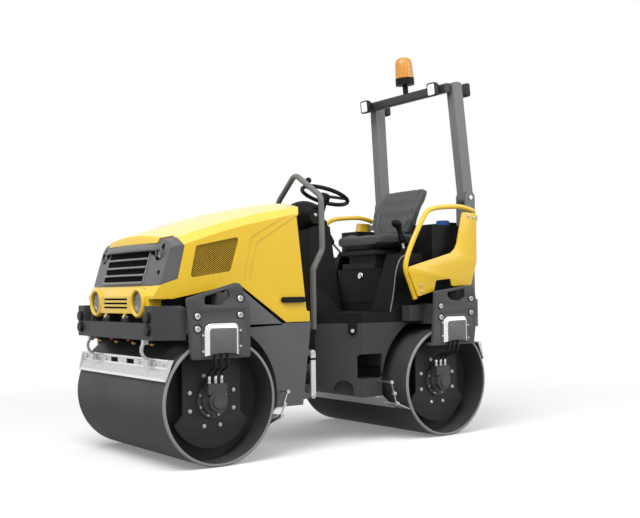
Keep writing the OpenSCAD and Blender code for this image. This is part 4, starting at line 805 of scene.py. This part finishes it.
class ROLLER_OT_forks(bpy.types.Operator):
    """Makes the forks with slots, recesses, shelves and legs, the front frame's wings and the rear splash flap"""
    bl_idname = "roller.forks"
    bl_label = "Forks"

    def execute(self, context):
        a = np.linspace(math.radians(-27.3), math.radians(-152.7), 40)
        half, head, waist, foot_radius = 0.188, 0.244, -0.07, 0.27
        foot = foot_radius * np.stack([np.cos(a), np.sin(a)], axis=1)
        leg = np.concatenate([[(half, head), (half, waist)], foot, [(-half, waist), (-half, head)]])
        for body, middle, sides, top in COVERS:
            axle = math.copysign(AXLE_X, middle)
            shift = np.array((middle, 0.0))
            outline = filleted(FORK_OUTLINES[body], 0.016) + shift
            slot = filleted(FORK_SLOTS[body], 0.014) + shift
            recesses = [ring(middle + dx, z, RECESS_RADIUS) for dx, z in FORK_BOLTS[body]]
            parts = [plate([outline, slot], 0.6152, RECESS_Y),
                     plate([outline, slot] + recesses, RECESS_Y - 0.001, FORK_FACE_Y)]
            rim = ((0.018, 0.6365), (0.018, 0.641), (0.016, RIM_Y), (0.001, RIM_Y), (0.001, 0.6365))
            parts.append(swept([upright(arch(middle, sides, top, -grow), y) for grow, y in rim]))
            shelf = np.array(((-0.165, 0.603), (0.165, 0.603), (0.165, 0.623), (-0.165, 0.623)))
            parts.append(plate([shelf + np.array((axle, 0.0))], 0.4705, 0.6365, 0.003))
            made = piece(f"{body}_fork_plates", paired(parts), body, "fork_grey")
            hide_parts(f"{body}_forks")
            legs = plate([leg + np.array((axle, AXLE_Z)), ring(axle, AXLE_Z, 0.0453)], 0.47, LEG_FACE_Y)
            # The legs take the darker copy of the fork grey: painted shade.
            piece(f"{body}_fork_legs", paired([legs]), body, "fork_grey", "leg_shade_and_housing_grey")
        wing = ((0.37, 0.77), (0.645, 0.975), (0.69, 0.99), (0.77, 0.978), (0.77, 0.76), (0.64, 0.76))
        piece("frame_wings", paired([plate([filleted(wing, 0.008)], 0.484, 0.5)]), "front", "frame_grey")
        flap = ((-1.106, 0.655), (-1.1, 0.655), (-1.1, 0.748), (-1.106, 0.748))
        piece("rear_splash_flap", plate([flap], -0.45, 0.45, 0.001), "rear", "hose_rubber")
        return {"FINISHED"}


def smooth(points, count=8):
    """A curve through all the points: between b and c, with a before and d after them, it is
    b + t (c - a) / 2 + t^2 (2 a - 5 b + 4 c - d) / 2 + t^3 (3 b - a - 3 c + d) / 2."""
    p = np.asarray(points, float)
    p = np.concatenate([[2.0 * p[0] - p[1]], p, [2.0 * p[-1] - p[-2]]])
    a, b, c, d = (p[k:len(p) - 3 + k, None, :] for k in range(4))
    t = np.linspace(0.0, 1.0, count, endpoint=False)[None, :, None]
    line = (b + 0.5 * t * (c - a) + 0.5 * t ** 2 * (2.0 * a - 5.0 * b + 4.0 * c - d)
            + 0.5 * t ** 3 * (3.0 * b - a - 3.0 * c + d))
    return np.concatenate([line.reshape(-1, p.shape[1]), p[-2:-1]])


def capped(path, radius, count):
    """A tube along a path, closed by a flat face at both ends."""
    points, faces = tube(path, radius, count)
    ends = [np.arange(count).tolist(), (len(points) - count + np.arange(count)).tolist()]
    return points, faces.tolist() + ends


GUARD_RAIL = ((-0.634, 0.912), (-0.597, 1.0), (-0.561, 1.085), (-0.557, 1.143), (-0.59, 1.231), (-0.651, 1.344),
              (-0.713, 1.442), (-0.757, 1.493), (-0.829, 1.518), (-0.941, 1.53), (-1.044, 1.535), (-1.125, 1.525),
              (-1.182, 1.51))
GUARD_PANEL = ((-1.185, 1.492), (-1.052, 1.495), (-0.995, 1.28), (-0.975, 1.245), (-0.938, 1.216), (-0.563, 1.12),
               (-0.556, 1.09), (-0.636, 0.925), (-0.777, 0.96), (-0.796, 1.03), (-0.926, 1.042), (-0.943, 0.99),
               (-1.122, 0.998), (-1.18, 1.16))
FENDER_LIP = ((-0.649, 1.206), (-0.606, 1.182), (-0.573, 1.125), (-0.555, 1.06), (-0.543, 0.98), (-0.526, 0.9),
              (-0.505, 0.826))


class ROLLER_OT_guards(bpy.types.Operator):
    """Makes the side guards: the bent rail and its panel with the notch; and the lip along the fender's front edge,
    with a light grey bead along it that is a painted highlight
    """
    bl_idname = "roller.guards"
    bl_label = "Side guards"

    def execute(self, context):
        rail = capped(upright(smooth(GUARD_RAIL), 0.5527), 0.017, 20)
        made = piece("guard_tubes", paired([rail]), "rear", "yellow_paint", sharp=50.0)
        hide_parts("guard_rails")
        sheet = plate([filleted(GUARD_PANEL, 0.016)], 0.57, GUARD_FACE_Y)
        made = piece("guard_sheets", paired([sheet]), "rear", "yellow_paint")
        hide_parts("guard_panels")
        edge = smooth(FENDER_LIP)
        lip = plate([np.concatenate([edge, [(-0.53, 0.826), (-0.668, 1.206)]])], 0.438, 0.4505, 0.001)
        piece("fender_lips", paired([lip]), "rear", "black_plastic")
        # A light grey bead along the fender's edge: painted highlight.
        highlight_bead = capped(upright(edge, 0.4475), 0.004, 8)
        piece("fender_highlight_beads", paired([highlight_bead]), "rear", "black_plastic", "grey_blades_and_highlight_beads", 60.0)
        return {"FINISHED"}


class ROLLER_OT_scrapers(bpy.types.Operator):
    """Makes the scrapers' folded edges and wear strips, the inner blades' ends with rods, and the lock bar's band"""
    bl_idname = "roller.scrapers"
    bl_label = "Scrapers"

    def execute(self, context):
        strips = (((1.1856, 0.6005), (1.19, 0.6005), (1.19, 0.6088), (1.1856, 0.6088)),
                  ((1.1858, 0.566), (1.1895, 0.566), (1.1915, 0.556), (1.1872, 0.555)),
                  ((1.2076, 0.506), (1.2102, 0.507), (1.2158, 0.4932), (1.2128, 0.492)))
        blade = ((0.44, 0.246), (0.533, 0.2075), (0.541, 0.199), (0.44, 0.238))
        band = ((0.1495, 0.551), (0.1865, 0.551), (0.1865, 0.565), (0.1495, 0.565))
        piece("lock_band", plate([band], 0.4985, 0.5153, 0.0006), "front", "hose_rubber")
        for body, way in UNITS:
            flip = np.array((way, 1.0))
            edges = [plate([np.array(strip) * flip], -DRUM_HALF_WIDTH, DRUM_HALF_WIDTH, 0.0006) for strip in strips]
            piece(f"{body}_scraper_edges", joined(edges), body, "zinc", "polished_edge")
            ends = [plate([np.array(blade) * flip], 0.449, 0.594, 0.0006)]
            ends.append(capped([(way * 0.4, 0.448, 0.382), (way * 0.4, 0.565, 0.382), (way * 0.402, 0.57, 0.376),
                                (way * 0.447, 0.57, 0.24)], 0.006, 12))
            knob = spin(in_mm(((0, -12), (11, -12), (12, -10), (12, 10), (11, 12), (0, 12))), 20)
            ends += [set_at(knob, (way * x, 0.572, z), (0.0, 1.0, 0.0))
                     for x, z in ((0.4, 0.382), (0.424, 0.31), (0.447, 0.243))]
            piece(f"{body}_blade_ends", paired(ends), body, "zinc", "bolt_steel")
        return {"FINISHED"}


def grille_x(y, z, ahead):
    """How far forward a point on the grille lies: it leans back with height and bows back with the square of y."""
    return np.interp(z, (1.011, 1.297), (1.198, 1.112)) + ahead - y ** 2 / GRILLE_BOW


def grille_line(z, half, ahead, count=25):
    """A line across the grille at height z, some way ahead of its face."""
    y = np.linspace(-half, half, count)
    return np.stack([grille_x(y, z, ahead), y, np.full(count, z)], axis=1)


def on_grille(outlines, low, high):
    """A thin plate laid on the grille's bowed face; its outlines are in Y and Z."""
    points, faces = plate(outlines, low, high, 0.0003)
    y, ahead, z = points[:, 0], points[:, 1], points[:, 2]
    return np.stack([grille_x(y, z, ahead), y, z], axis=1), faces


class ROLLER_OT_grille(bpy.types.Operator):
    """Makes a near-black sheet behind the grille's blades and round its lamps, painted shade for the recess and the
    lamp pockets; the blades and frame, the brow above them and the hood lip; and a folded near-black core behind the
    chin's slots, painted shade seen through them
    """
    bl_idname = "roller.grille"
    bl_label = "Grille"

    def execute(self, context):
        half, low, high = 0.272, 1.024, 1.214
        # A near-black sheet behind the blades: painted shade for the grille's recess.
        shade_sheet = swept([grille_line(z, half, ahead) for z, ahead in ((low, 0.0015), (high, 0.0015), (high, -0.003),
                                                                   (low, -0.003))])
        # Near-black outlines round the marker lamps: painted shade for their pockets.
        pocket_shade_outline = np.array(((0.282, 1.196), (0.405, 1.158), (0.405, 1.252), (0.282, 1.216)))
        pocket_shades = [on_grille([filleted(pocket_shade_outline * np.array((side, 1.0)), 0.008), ring(side * 0.372, 1.19, 0.0345)],
                             -0.002, 0.0015) for side in SIDES]
        piece("grille_shade_sheet", joined([shade_sheet] + pocket_shades), "hood", "grille_plastic", "painted_shade_black")

        blade = ((-0.002, -0.0055), (0.009, -0.0065), (0.0135, -0.003), (0.0135, 0.002), (0.007, 0.0065),
                 (-0.002, 0.007))
        parts = [swept([grille_line(z + dz, 0.27, dx) for dx, dz in blade]) for z in (1.032, 1.076, 1.121, 1.169)]
        corners = filleted(((-half, low), (half, low), (half, high), (-half, high)), 0.012)[:, None, :]
        across = np.linspace(0.0, 1.0, 9)[None, :, None]
        border = corners * (1.0 - across) + np.roll(corners, -1, axis=0) * across
        y, z = border[:, :-1].reshape(-1, 2).T
        parts.append(tube(np.stack([grille_x(y, z, 0.001), y, z], axis=1), 4.0 * MM, 8, closed=True))
        piece("grille_blades", joined(parts), "hood", "grille_plastic", "grey_blades_and_highlight_beads", 40.0)

        brow = ((1.21, -0.002), (1.211, 0.016), (1.216, 0.0235), (1.224, 0.0245), (1.236, 0.02), (1.249, 0.0115),
                (1.259, 0.005), (1.261, -0.003))
        made = swept([brow_line(z, ahead) for z, ahead in brow])
        piece("grille_brow", made, "hood", "grille_plastic", sharp=40.0)

        lip = ((1.1205, 1.259, 0.33, 0.09), (1.1275, 1.2585, 0.33, 0.09), (1.1276, 1.2625, 0.33, 0.09),
               (1.1152, 1.2975, 0.335, 0.2), (1.1132, 1.309, 0.345, 0.2475), (1.1108, 1.3118, 0.35, 0.2475),
               (1.1012, 1.3145, 0.36, 0.2475), (1.06, 1.329, 0.4, 0.2475), (1.06, 1.324, 0.4, 0.2475),
               (1.1, 1.3085, 0.36, 0.2475), (1.109, 1.297, 0.335, 0.2))
        rows = []
        for x, z, half, crown in lip:
            y = np.linspace(-half, half, 41)
            rows.append(np.stack([x - 0.085 * y ** 2, y, z - (crown - 0.05) * y ** 2], axis=1))
        piece("hood_lip", swept(rows), "hood", "yellow_paint", sharp=40.0)

        # A folded near-black core behind the chin's slots: painted shade seen through them.
        folds = 100
        fold = 0.0012 * np.where(np.arange(folds) % 2 == 0, 1.0, -1.0)
        y = np.linspace(-0.185, 0.185, folds)
        corners = ((0.0, 0.872), (0.0, 0.952), (-0.004, 0.952), (-0.004, 0.872))
        shade_core = swept([np.stack([1.203 + dx + fold - y ** 2 / GRILLE_BOW, y, np.full(folds, z)], axis=1)
                      for dx, z in corners])
        piece("chin_slot_shade_core", shade_core, "hood", "engine_black", sharp=20.0)
        return {"FINISHED"}


def brow_line(z, ahead, half=0.385, count=49):
    """A line of the brow: it stands ahead of the grille by an amount that dies away at both ends as 1 - |u|^8."""
    y = np.linspace(-half, half, count)
    ends = 1.0 - np.abs(y / half) ** 8
    drop = np.clip((z - 1.24) / 0.053, 0.0, 1.0) * y ** 2 / 5.0
    level = np.full(count, z) - drop
    return np.stack([grille_x(y, level, 0.0) + np.where(ahead > 0.0, ahead * ends, ahead), y, level], axis=1)


class ROLLER_OT_hose_ends(bpy.types.Operator):
    """Makes the swaged ferrules and nuts where the hoses leave the motors"""
    bl_idname = "roller.hose_ends"
    bl_label = "Hose ends"

    def execute(self, context):
        sleeve = ((0, 0), (12, 0), (12, 10), (9.5, 12), (9.5, 20), (10.5, 21), (10.5, 38), (8, 42), (0, 42))
        shape = spin(in_mm(sleeve), 24)
        for body, way in UNITS:
            parts = [set_at(shape, (way * AXLE_X + dx, side * 0.535, 0.4602))
                     for dx in (-0.04, 0.0, 0.04) for side in SIDES]
            piece(f"{body}_hose_ends", joined(parts), body, "zinc", "bolt_steel")
        return {"FINISHED"}


# For each travel lever, its boot's place, its stem's foot, the neck between stem and grip, and the grip's tip.
LEVERS = (((-0.768, 0.3, 1.2152), (-0.766, 0.3, 1.245), (-0.748, 0.3, 1.318), (-0.713, 0.3, 1.42)),
          ((-0.69, -0.3, 1.2152), (-0.69, -0.3, 1.235), (-0.588, -0.3, 1.33), (-0.522, -0.3, 1.462)))


class ROLLER_OT_controls(bpy.types.Operator):
    """Makes the travel levers' boots, stems, grips and button, the wheel's cap, the pedestal's lock and pod screws"""
    bl_idname = "roller.controls"
    bl_label = "Controls"

    def execute(self, context):
        t = np.linspace(0.0, 1.0, 41)
        fold = np.abs(((t * 5.0) % 1.0) - 0.5) * 2.0
        boot = np.stack([0.0425 - 0.0205 * t + 0.004 * fold, 0.036 * t], axis=1)
        boot = np.concatenate([[(0.0, 0.0)], boot, [(0.0, 0.036)]])
        boots = joined([set_at(spin(boot, 40), place) for place, _, _, _ in LEVERS])
        piece("lever_boots", boots, "rear", "hose_rubber", sharp=60.0)
        # The stems' light silver stands in for the bright reflections of chrome: painted reflection.
        stems = joined([tube((foot, neck), 8.8 * MM, 16) for _, foot, neck, _ in LEVERS])
        piece("lever_stems", stems, "rear", "zinc", "stem_silver_painted_reflection", 60.0)
        grips = []
        for _, _, neck, tip in LEVERS:
            neck, tip = np.array(neck), np.array(tip)
            reach = np.linalg.norm(tip - neck)
            h = np.linspace(0.0, 1.0, 25)
            waist = 0.0205 + 0.003 * np.cos(2.0 * np.pi * h) + 0.0008 * np.cos(10.0 * np.pi * h)
            handle = np.concatenate([[(0.0, -0.0255), (0.014, -0.0245), (0.022, -0.014)],
                                     np.stack([waist, reach * h], axis=1),
                                     [(0.012, reach + 0.012), (0.0, reach + 0.012)]])
            grips.append(set_at(spin(handle, 32), neck, tip - neck))
            t = np.linspace(0.0, np.pi, 21)
            head = np.stack([0.0275 * np.sin(t) ** 0.8, -0.04 * np.cos(t)], axis=1)
            grips.append(set_at(spin(head, 32), tip + np.array((0.012, 0.0, 0.004)), (1.0, 0.0, 0.2)))
        piece("lever_grips", joined(grips), "rear", "black_plastic", sharp=60.0)
        # The button sits on the grip that was made last.
        button = spin(in_mm(((0, 0), (15, 0), (15, 8), (12.5, 11), (0, 12.5))), 32)
        along = (tip - neck) / np.linalg.norm(tip - neck)
        piece("lever_button", set_at(button, tip + 0.0215 * along, along), "rear", "black_plastic", "red_plastic")
        cap = spin(in_mm(((0, 0), (34, 0), (34, 3), (30, 6), (18, 8), (0, 9))), 40)
        tilt = math.radians(20.0)
        axis = np.array((-math.sin(tilt), 0.0, math.cos(tilt)))
        hub = np.array((-0.315, 0.0, 1.625))
        piece("wheel_cap", set_at(cap, hub + 0.005 * axis, axis), "steering_wheel", "black_plastic")
        lock = spin(in_mm(((0, 7), (7, 7), (8, 9), (17, 9), (22, 7), (26, 2), (26, -1), (0, -1))), 40)
        screw = socket_bolt(11.0 * MM, 6.0 * MM)
        parts = [set_at(lock, (-0.601, 0.02, 1.072), (1.0, 0.0, 0.0))]
        parts += [set_at(screw, (-0.125, side * 0.151, 1.475), (0.0, side, 0.0)) for side in SIDES]
        piece("console_lock", joined(parts), "rear", "zinc", "bright_steel")
        return {"FINISHED"}


class ROLLER_OT_floor_mat(bpy.types.Operator):
    """Makes the studs of the platform's rubber mat"""
    bl_idname = "roller.floor_mat"
    bl_label = "Floor mat"

    def execute(self, context):
        stud = spin(in_mm(((6.5, -0.3), (5, 3), (0, 3.4))), 8)
        pitch = 0.021
        x, y = np.meshgrid(np.arange(-0.585, -0.35, pitch), np.arange(-0.231, 0.232, pitch), indexing="ij")
        places = np.stack([x.ravel(), y.ravel(), np.full(x.size, 0.825)], axis=1)
        points = (stud[0][None, :, :] + places[:, None, :]).reshape(-1, 3)
        faces = (stud[1][None, :, :] + (len(stud[0]) * np.arange(len(places)))[:, None, None]).reshape(-1, 4)
        piece("floor_studs", (points, faces), "rear", "hose_rubber", sharp=40.0)
        return {"FINISHED"}


class ROLLER_OT_nozzles(bpy.types.Operator):
    """Makes the coloured tips and taps of the spray nozzles under both bumpers"""
    bl_idname = "roller.nozzles"
    bl_label = "Nozzles"

    def execute(self, context):
        tip = spin(in_mm(((0, 0), (9, 0), (13, 2), (13, 9), (8, 14), (3, 15), (3, 12), (0, 12))), 24)
        tap = spin(in_mm(((0, 0), (10, 0), (12, 2), (12, 16), (9, 19), (0, 19))), 8)
        down = (0.0, 0.0, -1.0)
        for body, way in UNITS:
            rows = [y for half in (0.12, 0.36) for y in (half, -half)]
            tips = joined([set_at(tip, (way * 1.167, y, 0.69), down) for y in rows])
            piece(f"{body}_nozzle_tips", tips, body, "black_plastic", "nozzle_yellow")
            taps = joined([set_at(tap, (way * 1.167, y - 0.07, 0.7105), down) for y in rows])
            piece(f"{body}_nozzle_taps", taps, body, "black_plastic", "red_plastic")
        return {"FINISHED"}


class ROLLER_OT_lamps(bpy.types.Operator):
    """Makes the headlights and the marker lamps: a bowl, its bulb and a clear lens"""
    bl_idname = "roller.lamps"
    bl_label = "Lamps"

    def execute(self, context):
        for name, node, radius, place in (("headlight", "headlights", 0.0645, (1.213, 0.29, 0.918)),
                                          ("marker", "marker_lamps", 0.0278, (1.1225, 0.372, 1.19))):
            depth = 0.6 * radius
            r = np.linspace(0.0, 0.93 * radius, 14)
            front = -depth * (1.0 - (r / r[-1]) ** 2) - 0.04 * radius
            bowl = np.concatenate([np.stack([r, front], 1), [(0.95 * radius, 0.05 * radius), (radius, 0.05 * radius),
                                                              (radius, -0.3 * depth), (0.25 * radius, -1.12 * depth),
                                                              (0.0, -1.12 * depth)]])
            bulb = [(0.0, -0.95 * depth), (0.17 * radius, -0.95 * depth), (0.17 * radius, -0.45 * depth),
                    (0.11 * radius, -0.35 * depth), (0.0, -0.33 * depth)]
            dome = 0.05 * radius * np.sqrt(np.maximum(0.0, 1.0 - (r / r[-1]) ** 2))
            lens = np.concatenate([np.stack([r, 0.03 * radius + dome], 1), np.stack([r[::-1], 0.0 * r], 1)])
            both = [(place[0], side * place[1], place[2]) for side in SIDES]
            ahead = (1.0, 0.0, 0.0)
            # The bowls take the darkened reflector metal: painted shade.
            bowls = joined([set_at(spin(part, 48), at, ahead) for at in both for part in (bowl, bulb)])
            made = piece(f"{name}_bowls", bowls, "hood", "lamp_lens", "reflector")
            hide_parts(node)
            lenses = joined([set_at(spin(lens, 48), at, ahead) for at in both])
            piece(f"{name}_lenses", lenses, "hood", "lamp_lens")
        return {"FINISHED"}


class ROLLER_OT_work_lamps(bpy.types.Operator):
    """Makes the four work lamps: a tapering housing with a rim, and a white lens"""
    bl_idname = "roller.work_lamps"
    bl_label = "Work lamps"

    def execute(self, context):
        w, h = 0.0425, 0.0475
        housings, panes = [], []
        for start, y, z, way, depth in ((0.107, 0.372, 0.773, 1.0, 0.07), (-0.045, 0.434, 0.763, -1.0, 0.06)):
            shell = [(0.0, 0.0), (0.0, 0.58), (0.004, 0.62), (0.58 * depth, 0.98), (0.64 * depth, 1.0),
                     (depth - 0.002, 1.0), (depth, 0.97), (depth, 0.84), (depth - 0.005, 0.81), (depth - 0.005, 0.0)]
            pane = [(depth - 0.0055, 0.0), (depth - 0.0055, 0.82), (depth - 0.002, 0.8), (depth - 0.0005, 0.6),
                    (depth, 0.3), (depth, 0.0)]
            for rows, into in ((shell, housings), (pane, panes)):
                points, faces = loft([(d, k * w, k * h) for d, k in rows])
                placed = np.stack([start + way * points[:, 2], y + points[:, 0], z + points[:, 1]], axis=1)
                into.append(paired([(leaning(placed), faces)]))
        made = piece("work_lamp_housings", joined(housings), "rops", "black_plastic", "leg_shade_and_housing_grey", 40.0)
        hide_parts("work_lamps")
        piece("work_lamp_lenses", joined(panes), "rops", "lamp_lens", "lamp_white", 40.0)
        return {"FINISHED"}


class ROLLER_OT_hood_mesh(bpy.types.Operator):
    """Makes the hood's side mesh from two families of crossing wires"""
    bl_idname = "roller.hood_mesh"
    bl_label = "Hood mesh"

    def execute(self, context):
        pitch = context.scene.roller_sizes.mesh_pitch
        corners = np.array(((0.987, 1.054), (0.723, 1.092), (0.662, 1.294), (0.947, 1.236)))
        plane_y = 0.4705
        parts = []
        for slope, offset in ((0.62, 0.0), (-0.62, 0.0008)):
            direction = np.array((math.cos(slope), math.sin(slope)))
            normal = np.array((-direction[1], direction[0]))
            reach = corners @ normal
            for level in np.arange(reach.min() + pitch / 2, reach.max(), pitch):
                a, b = corners, np.roll(corners, -1, axis=0)
                da, db = a @ normal - level, b @ normal - level
                cut = da * db < 0.0
                if cut.sum() != 2:
                    continue
                hits = a[cut] + (b - a)[cut] * (da / (da - db))[cut][:, None]
                parts.append(tube(upright(hits, plane_y + offset), 1.5 * MM, 5))
        made = piece("hood_mesh_wires", paired(parts), "hood", "mesh_steel")
        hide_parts("hood_mesh")
        return {"FINISHED"}


class ROLLER_OT_beacon(bpy.types.Operator):
    """Makes the beacon's ribbed amber dome"""
    bl_idname = "roller.beacon"
    bl_label = "Beacon"

    def execute(self, context):
        turns, levels = 96, 30
        t = np.linspace(0.0, 1.0, levels)
        height = 0.924 + 0.155 * t
        radius = 0.0655 * (1.0 - 0.1 * t) * np.maximum(0.0, 1.0 - t ** 9) ** 0.4
        angle = np.linspace(0.0, 2.0 * np.pi, turns, endpoint=False)
        rib = 1.0 + 0.018 * np.cos(24.0 * angle)
        r = rib[:, None] * radius[None, :]
        points = np.stack([0.076 + r * np.cos(angle)[:, None], r * np.sin(angle)[:, None],
                           np.broadcast_to(height, r.shape)], axis=-1)
        made = piece("beacon_ribs", (leaning(points).reshape(-1, 3), grid_faces(turns, levels, wrap_rows=True)),
                     "rops", "amber_lens", sharp=60.0)
        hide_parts("beacon_dome")
        return {"FINISHED"}


def seen_directly(tree):
    """1 for rays from the camera and for those that a gloss or a glass sends on, otherwise 0."""
    path = tree.nodes.new("ShaderNodeLightPath")
    total = path.outputs["Is Camera Ray"]
    for kind in ("Is Glossy Ray", "Is Transmission Ray"):
        larger = tree.nodes.new("ShaderNodeMath")
        larger.operation = "MAXIMUM"
        tree.links.new(total, larger.inputs[0])
        tree.links.new(path.outputs[kind], larger.inputs[1])
        total = larger.outputs[0]
    return total


class ROLLER_OT_stage(bpy.types.Operator):
    """Makes the floor, the studio light and the camera"""
    bl_idname = "roller.stage"
    bl_label = "Stage"

    def execute(self, context):
        scene, stage = context.scene, context.scene.roller_stage
        mesh = bpy.data.meshes.new("studio_floor")
        half = 60.0
        corners = [(-half, -half, 0.0), (half, -half, 0.0), (half, half, 0.0), (-half, half, 0.0)]
        mesh.from_pydata(corners, [], [(0, 1, 2, 3)])
        floor = bpy.data.objects.new("studio_floor", mesh)
        scene.collection.objects.link(floor)
        finish = Finish("studio_floor", stage.floor, 0.9).mottled(0.002, 0.5)
        finish.set(Specular_IOR_Level=0.0)
        away = finish.node("ShaderNodeVectorMath", operation="LENGTH")
        finish.link(finish.place, away.inputs[0])
        fade = finish.ranged(away.outputs["Value"], 1.9, 4.6, 0.2, 1.0)
        direct = seen_directly(finish.tree)
        to_camera = finish.node("ShaderNodeLightPath").outputs["Is Camera Ray"]
        finish.link(finish.mix(to_camera, stage.bounce, finish.shade), finish.shader.inputs["Base Color"])
        seen = finish.node("ShaderNodeMath", operation="MULTIPLY")
        finish.link(fade, seen.inputs[0])
        finish.link(direct, seen.inputs[1])
        paper = finish.node("ShaderNodeEmission", Color=WHITE, Strength=1.0)
        blend = finish.node("ShaderNodeMixShader")
        finish.link(seen.outputs[0], blend.inputs[0])
        finish.link(finish.shader.outputs[0], blend.inputs[1])
        finish.link(paper.outputs[0], blend.inputs[2])
        finish.link(blend.outputs[0], finish.tree.nodes["Material Output"].inputs["Surface"])
        mesh.materials.append(finish.material)

        world = bpy.data.worlds.new("studio")
        world.use_nodes = True
        scene.world = world
        tree = world.node_tree
        room = tree.nodes["Background"]
        room.inputs["Strength"].default_value = stage.ambient
        room.inputs["Color"].default_value = WHITE
        white = tree.nodes.new("ShaderNodeBackground")
        white.inputs["Color"].default_value = WHITE
        mix = tree.nodes.new("ShaderNodeMixShader")
        tree.links.new(seen_directly(tree), mix.inputs[0])
        tree.links.new(room.outputs[0], mix.inputs[1])
        tree.links.new(white.outputs[0], mix.inputs[2])
        tree.links.new(mix.outputs[0], tree.nodes["World Output"].inputs["Surface"])

        for name, place, power in (("key", (3.2, 2.0, 5.5), stage.key), ("fill", (-3.5, 4.5, 4.0), 0.45 * stage.key)):
            light = bpy.data.lights.new(name, "AREA")
            light.size = 4.0
            light.energy = power
            lamp = bpy.data.objects.new(name, light)
            lamp.location = place
            lamp.rotation_euler = (Vector((0.0, 0.0, 0.8)) - Vector(place)).to_track_quat("-Z", "Y").to_euler()
            scene.collection.objects.link(lamp)

        camera = bpy.data.objects.new("camera", bpy.data.cameras.new("camera"))
        camera.data.sensor_width = 36.0
        camera.data.lens = stage.lens
        camera.location = (3.53203, 5.20307, 0.968536)
        camera.rotation_euler = Euler([math.radians(a) for a in (91.95966, 0.782264, 143.887954)], "XYZ")
        camera.data.clip_end = 200.0
        scene.collection.objects.link(camera)
        scene.camera = camera
        scene.view_settings.view_transform = "Standard"
        return {"FINISHED"}


PIECES = (ROLLER_OT_finishes, ROLLER_OT_seat, ROLLER_OT_forks, ROLLER_OT_covers, ROLLER_OT_bolts, ROLLER_OT_guards,
          ROLLER_OT_scrapers, ROLLER_OT_grille, ROLLER_OT_hose_ends, ROLLER_OT_controls, ROLLER_OT_floor_mat,
          ROLLER_OT_nozzles, ROLLER_OT_lamps, ROLLER_OT_work_lamps, ROLLER_OT_hood_mesh, ROLLER_OT_beacon,
          ROLLER_OT_stage)


class ROLLER_PT_panel(bpy.types.Panel):
    """Lists the pieces in the sidebar"""
    bl_idname = "ROLLER_PT_panel"
    bl_label = "Roller"
    bl_space_type = "VIEW_3D"
    bl_region_type = "UI"
    bl_category = "Roller"

    def draw(self, context):
        for group in (context.scene.roller_colours, context.scene.roller_sizes, context.scene.roller_stage):
            for key in group.__annotations__:
                self.layout.prop(group, key)
        for operator in PIECES:
            self.layout.operator(operator.bl_idname)


GROUPS = (("roller_colours", RollerColours), ("roller_sizes", RollerSizes), ("roller_stage", RollerStage))


def register():
    for _, group in GROUPS:
        bpy.utils.register_class(group)
    for made in PIECES + (ROLLER_PT_panel,):
        bpy.utils.register_class(made)
    for name, group in GROUPS:
        setattr(bpy.types.Scene, name, bpy.props.PointerProperty(type=group))


def unregister():
    for name, _ in GROUPS:
        delattr(bpy.types.Scene, name)
    for made in (ROLLER_PT_panel,) + PIECES[::-1]:
        bpy.utils.unregister_class(made)
    for _, group in GROUPS:
        bpy.utils.unregister_class(group)


def main():
    register()
    for made in PIECES:
        group, name = made.bl_idname.split(".")
        getattr(getattr(bpy.ops, group), name)()


if __name__ == "__main__":
    main()
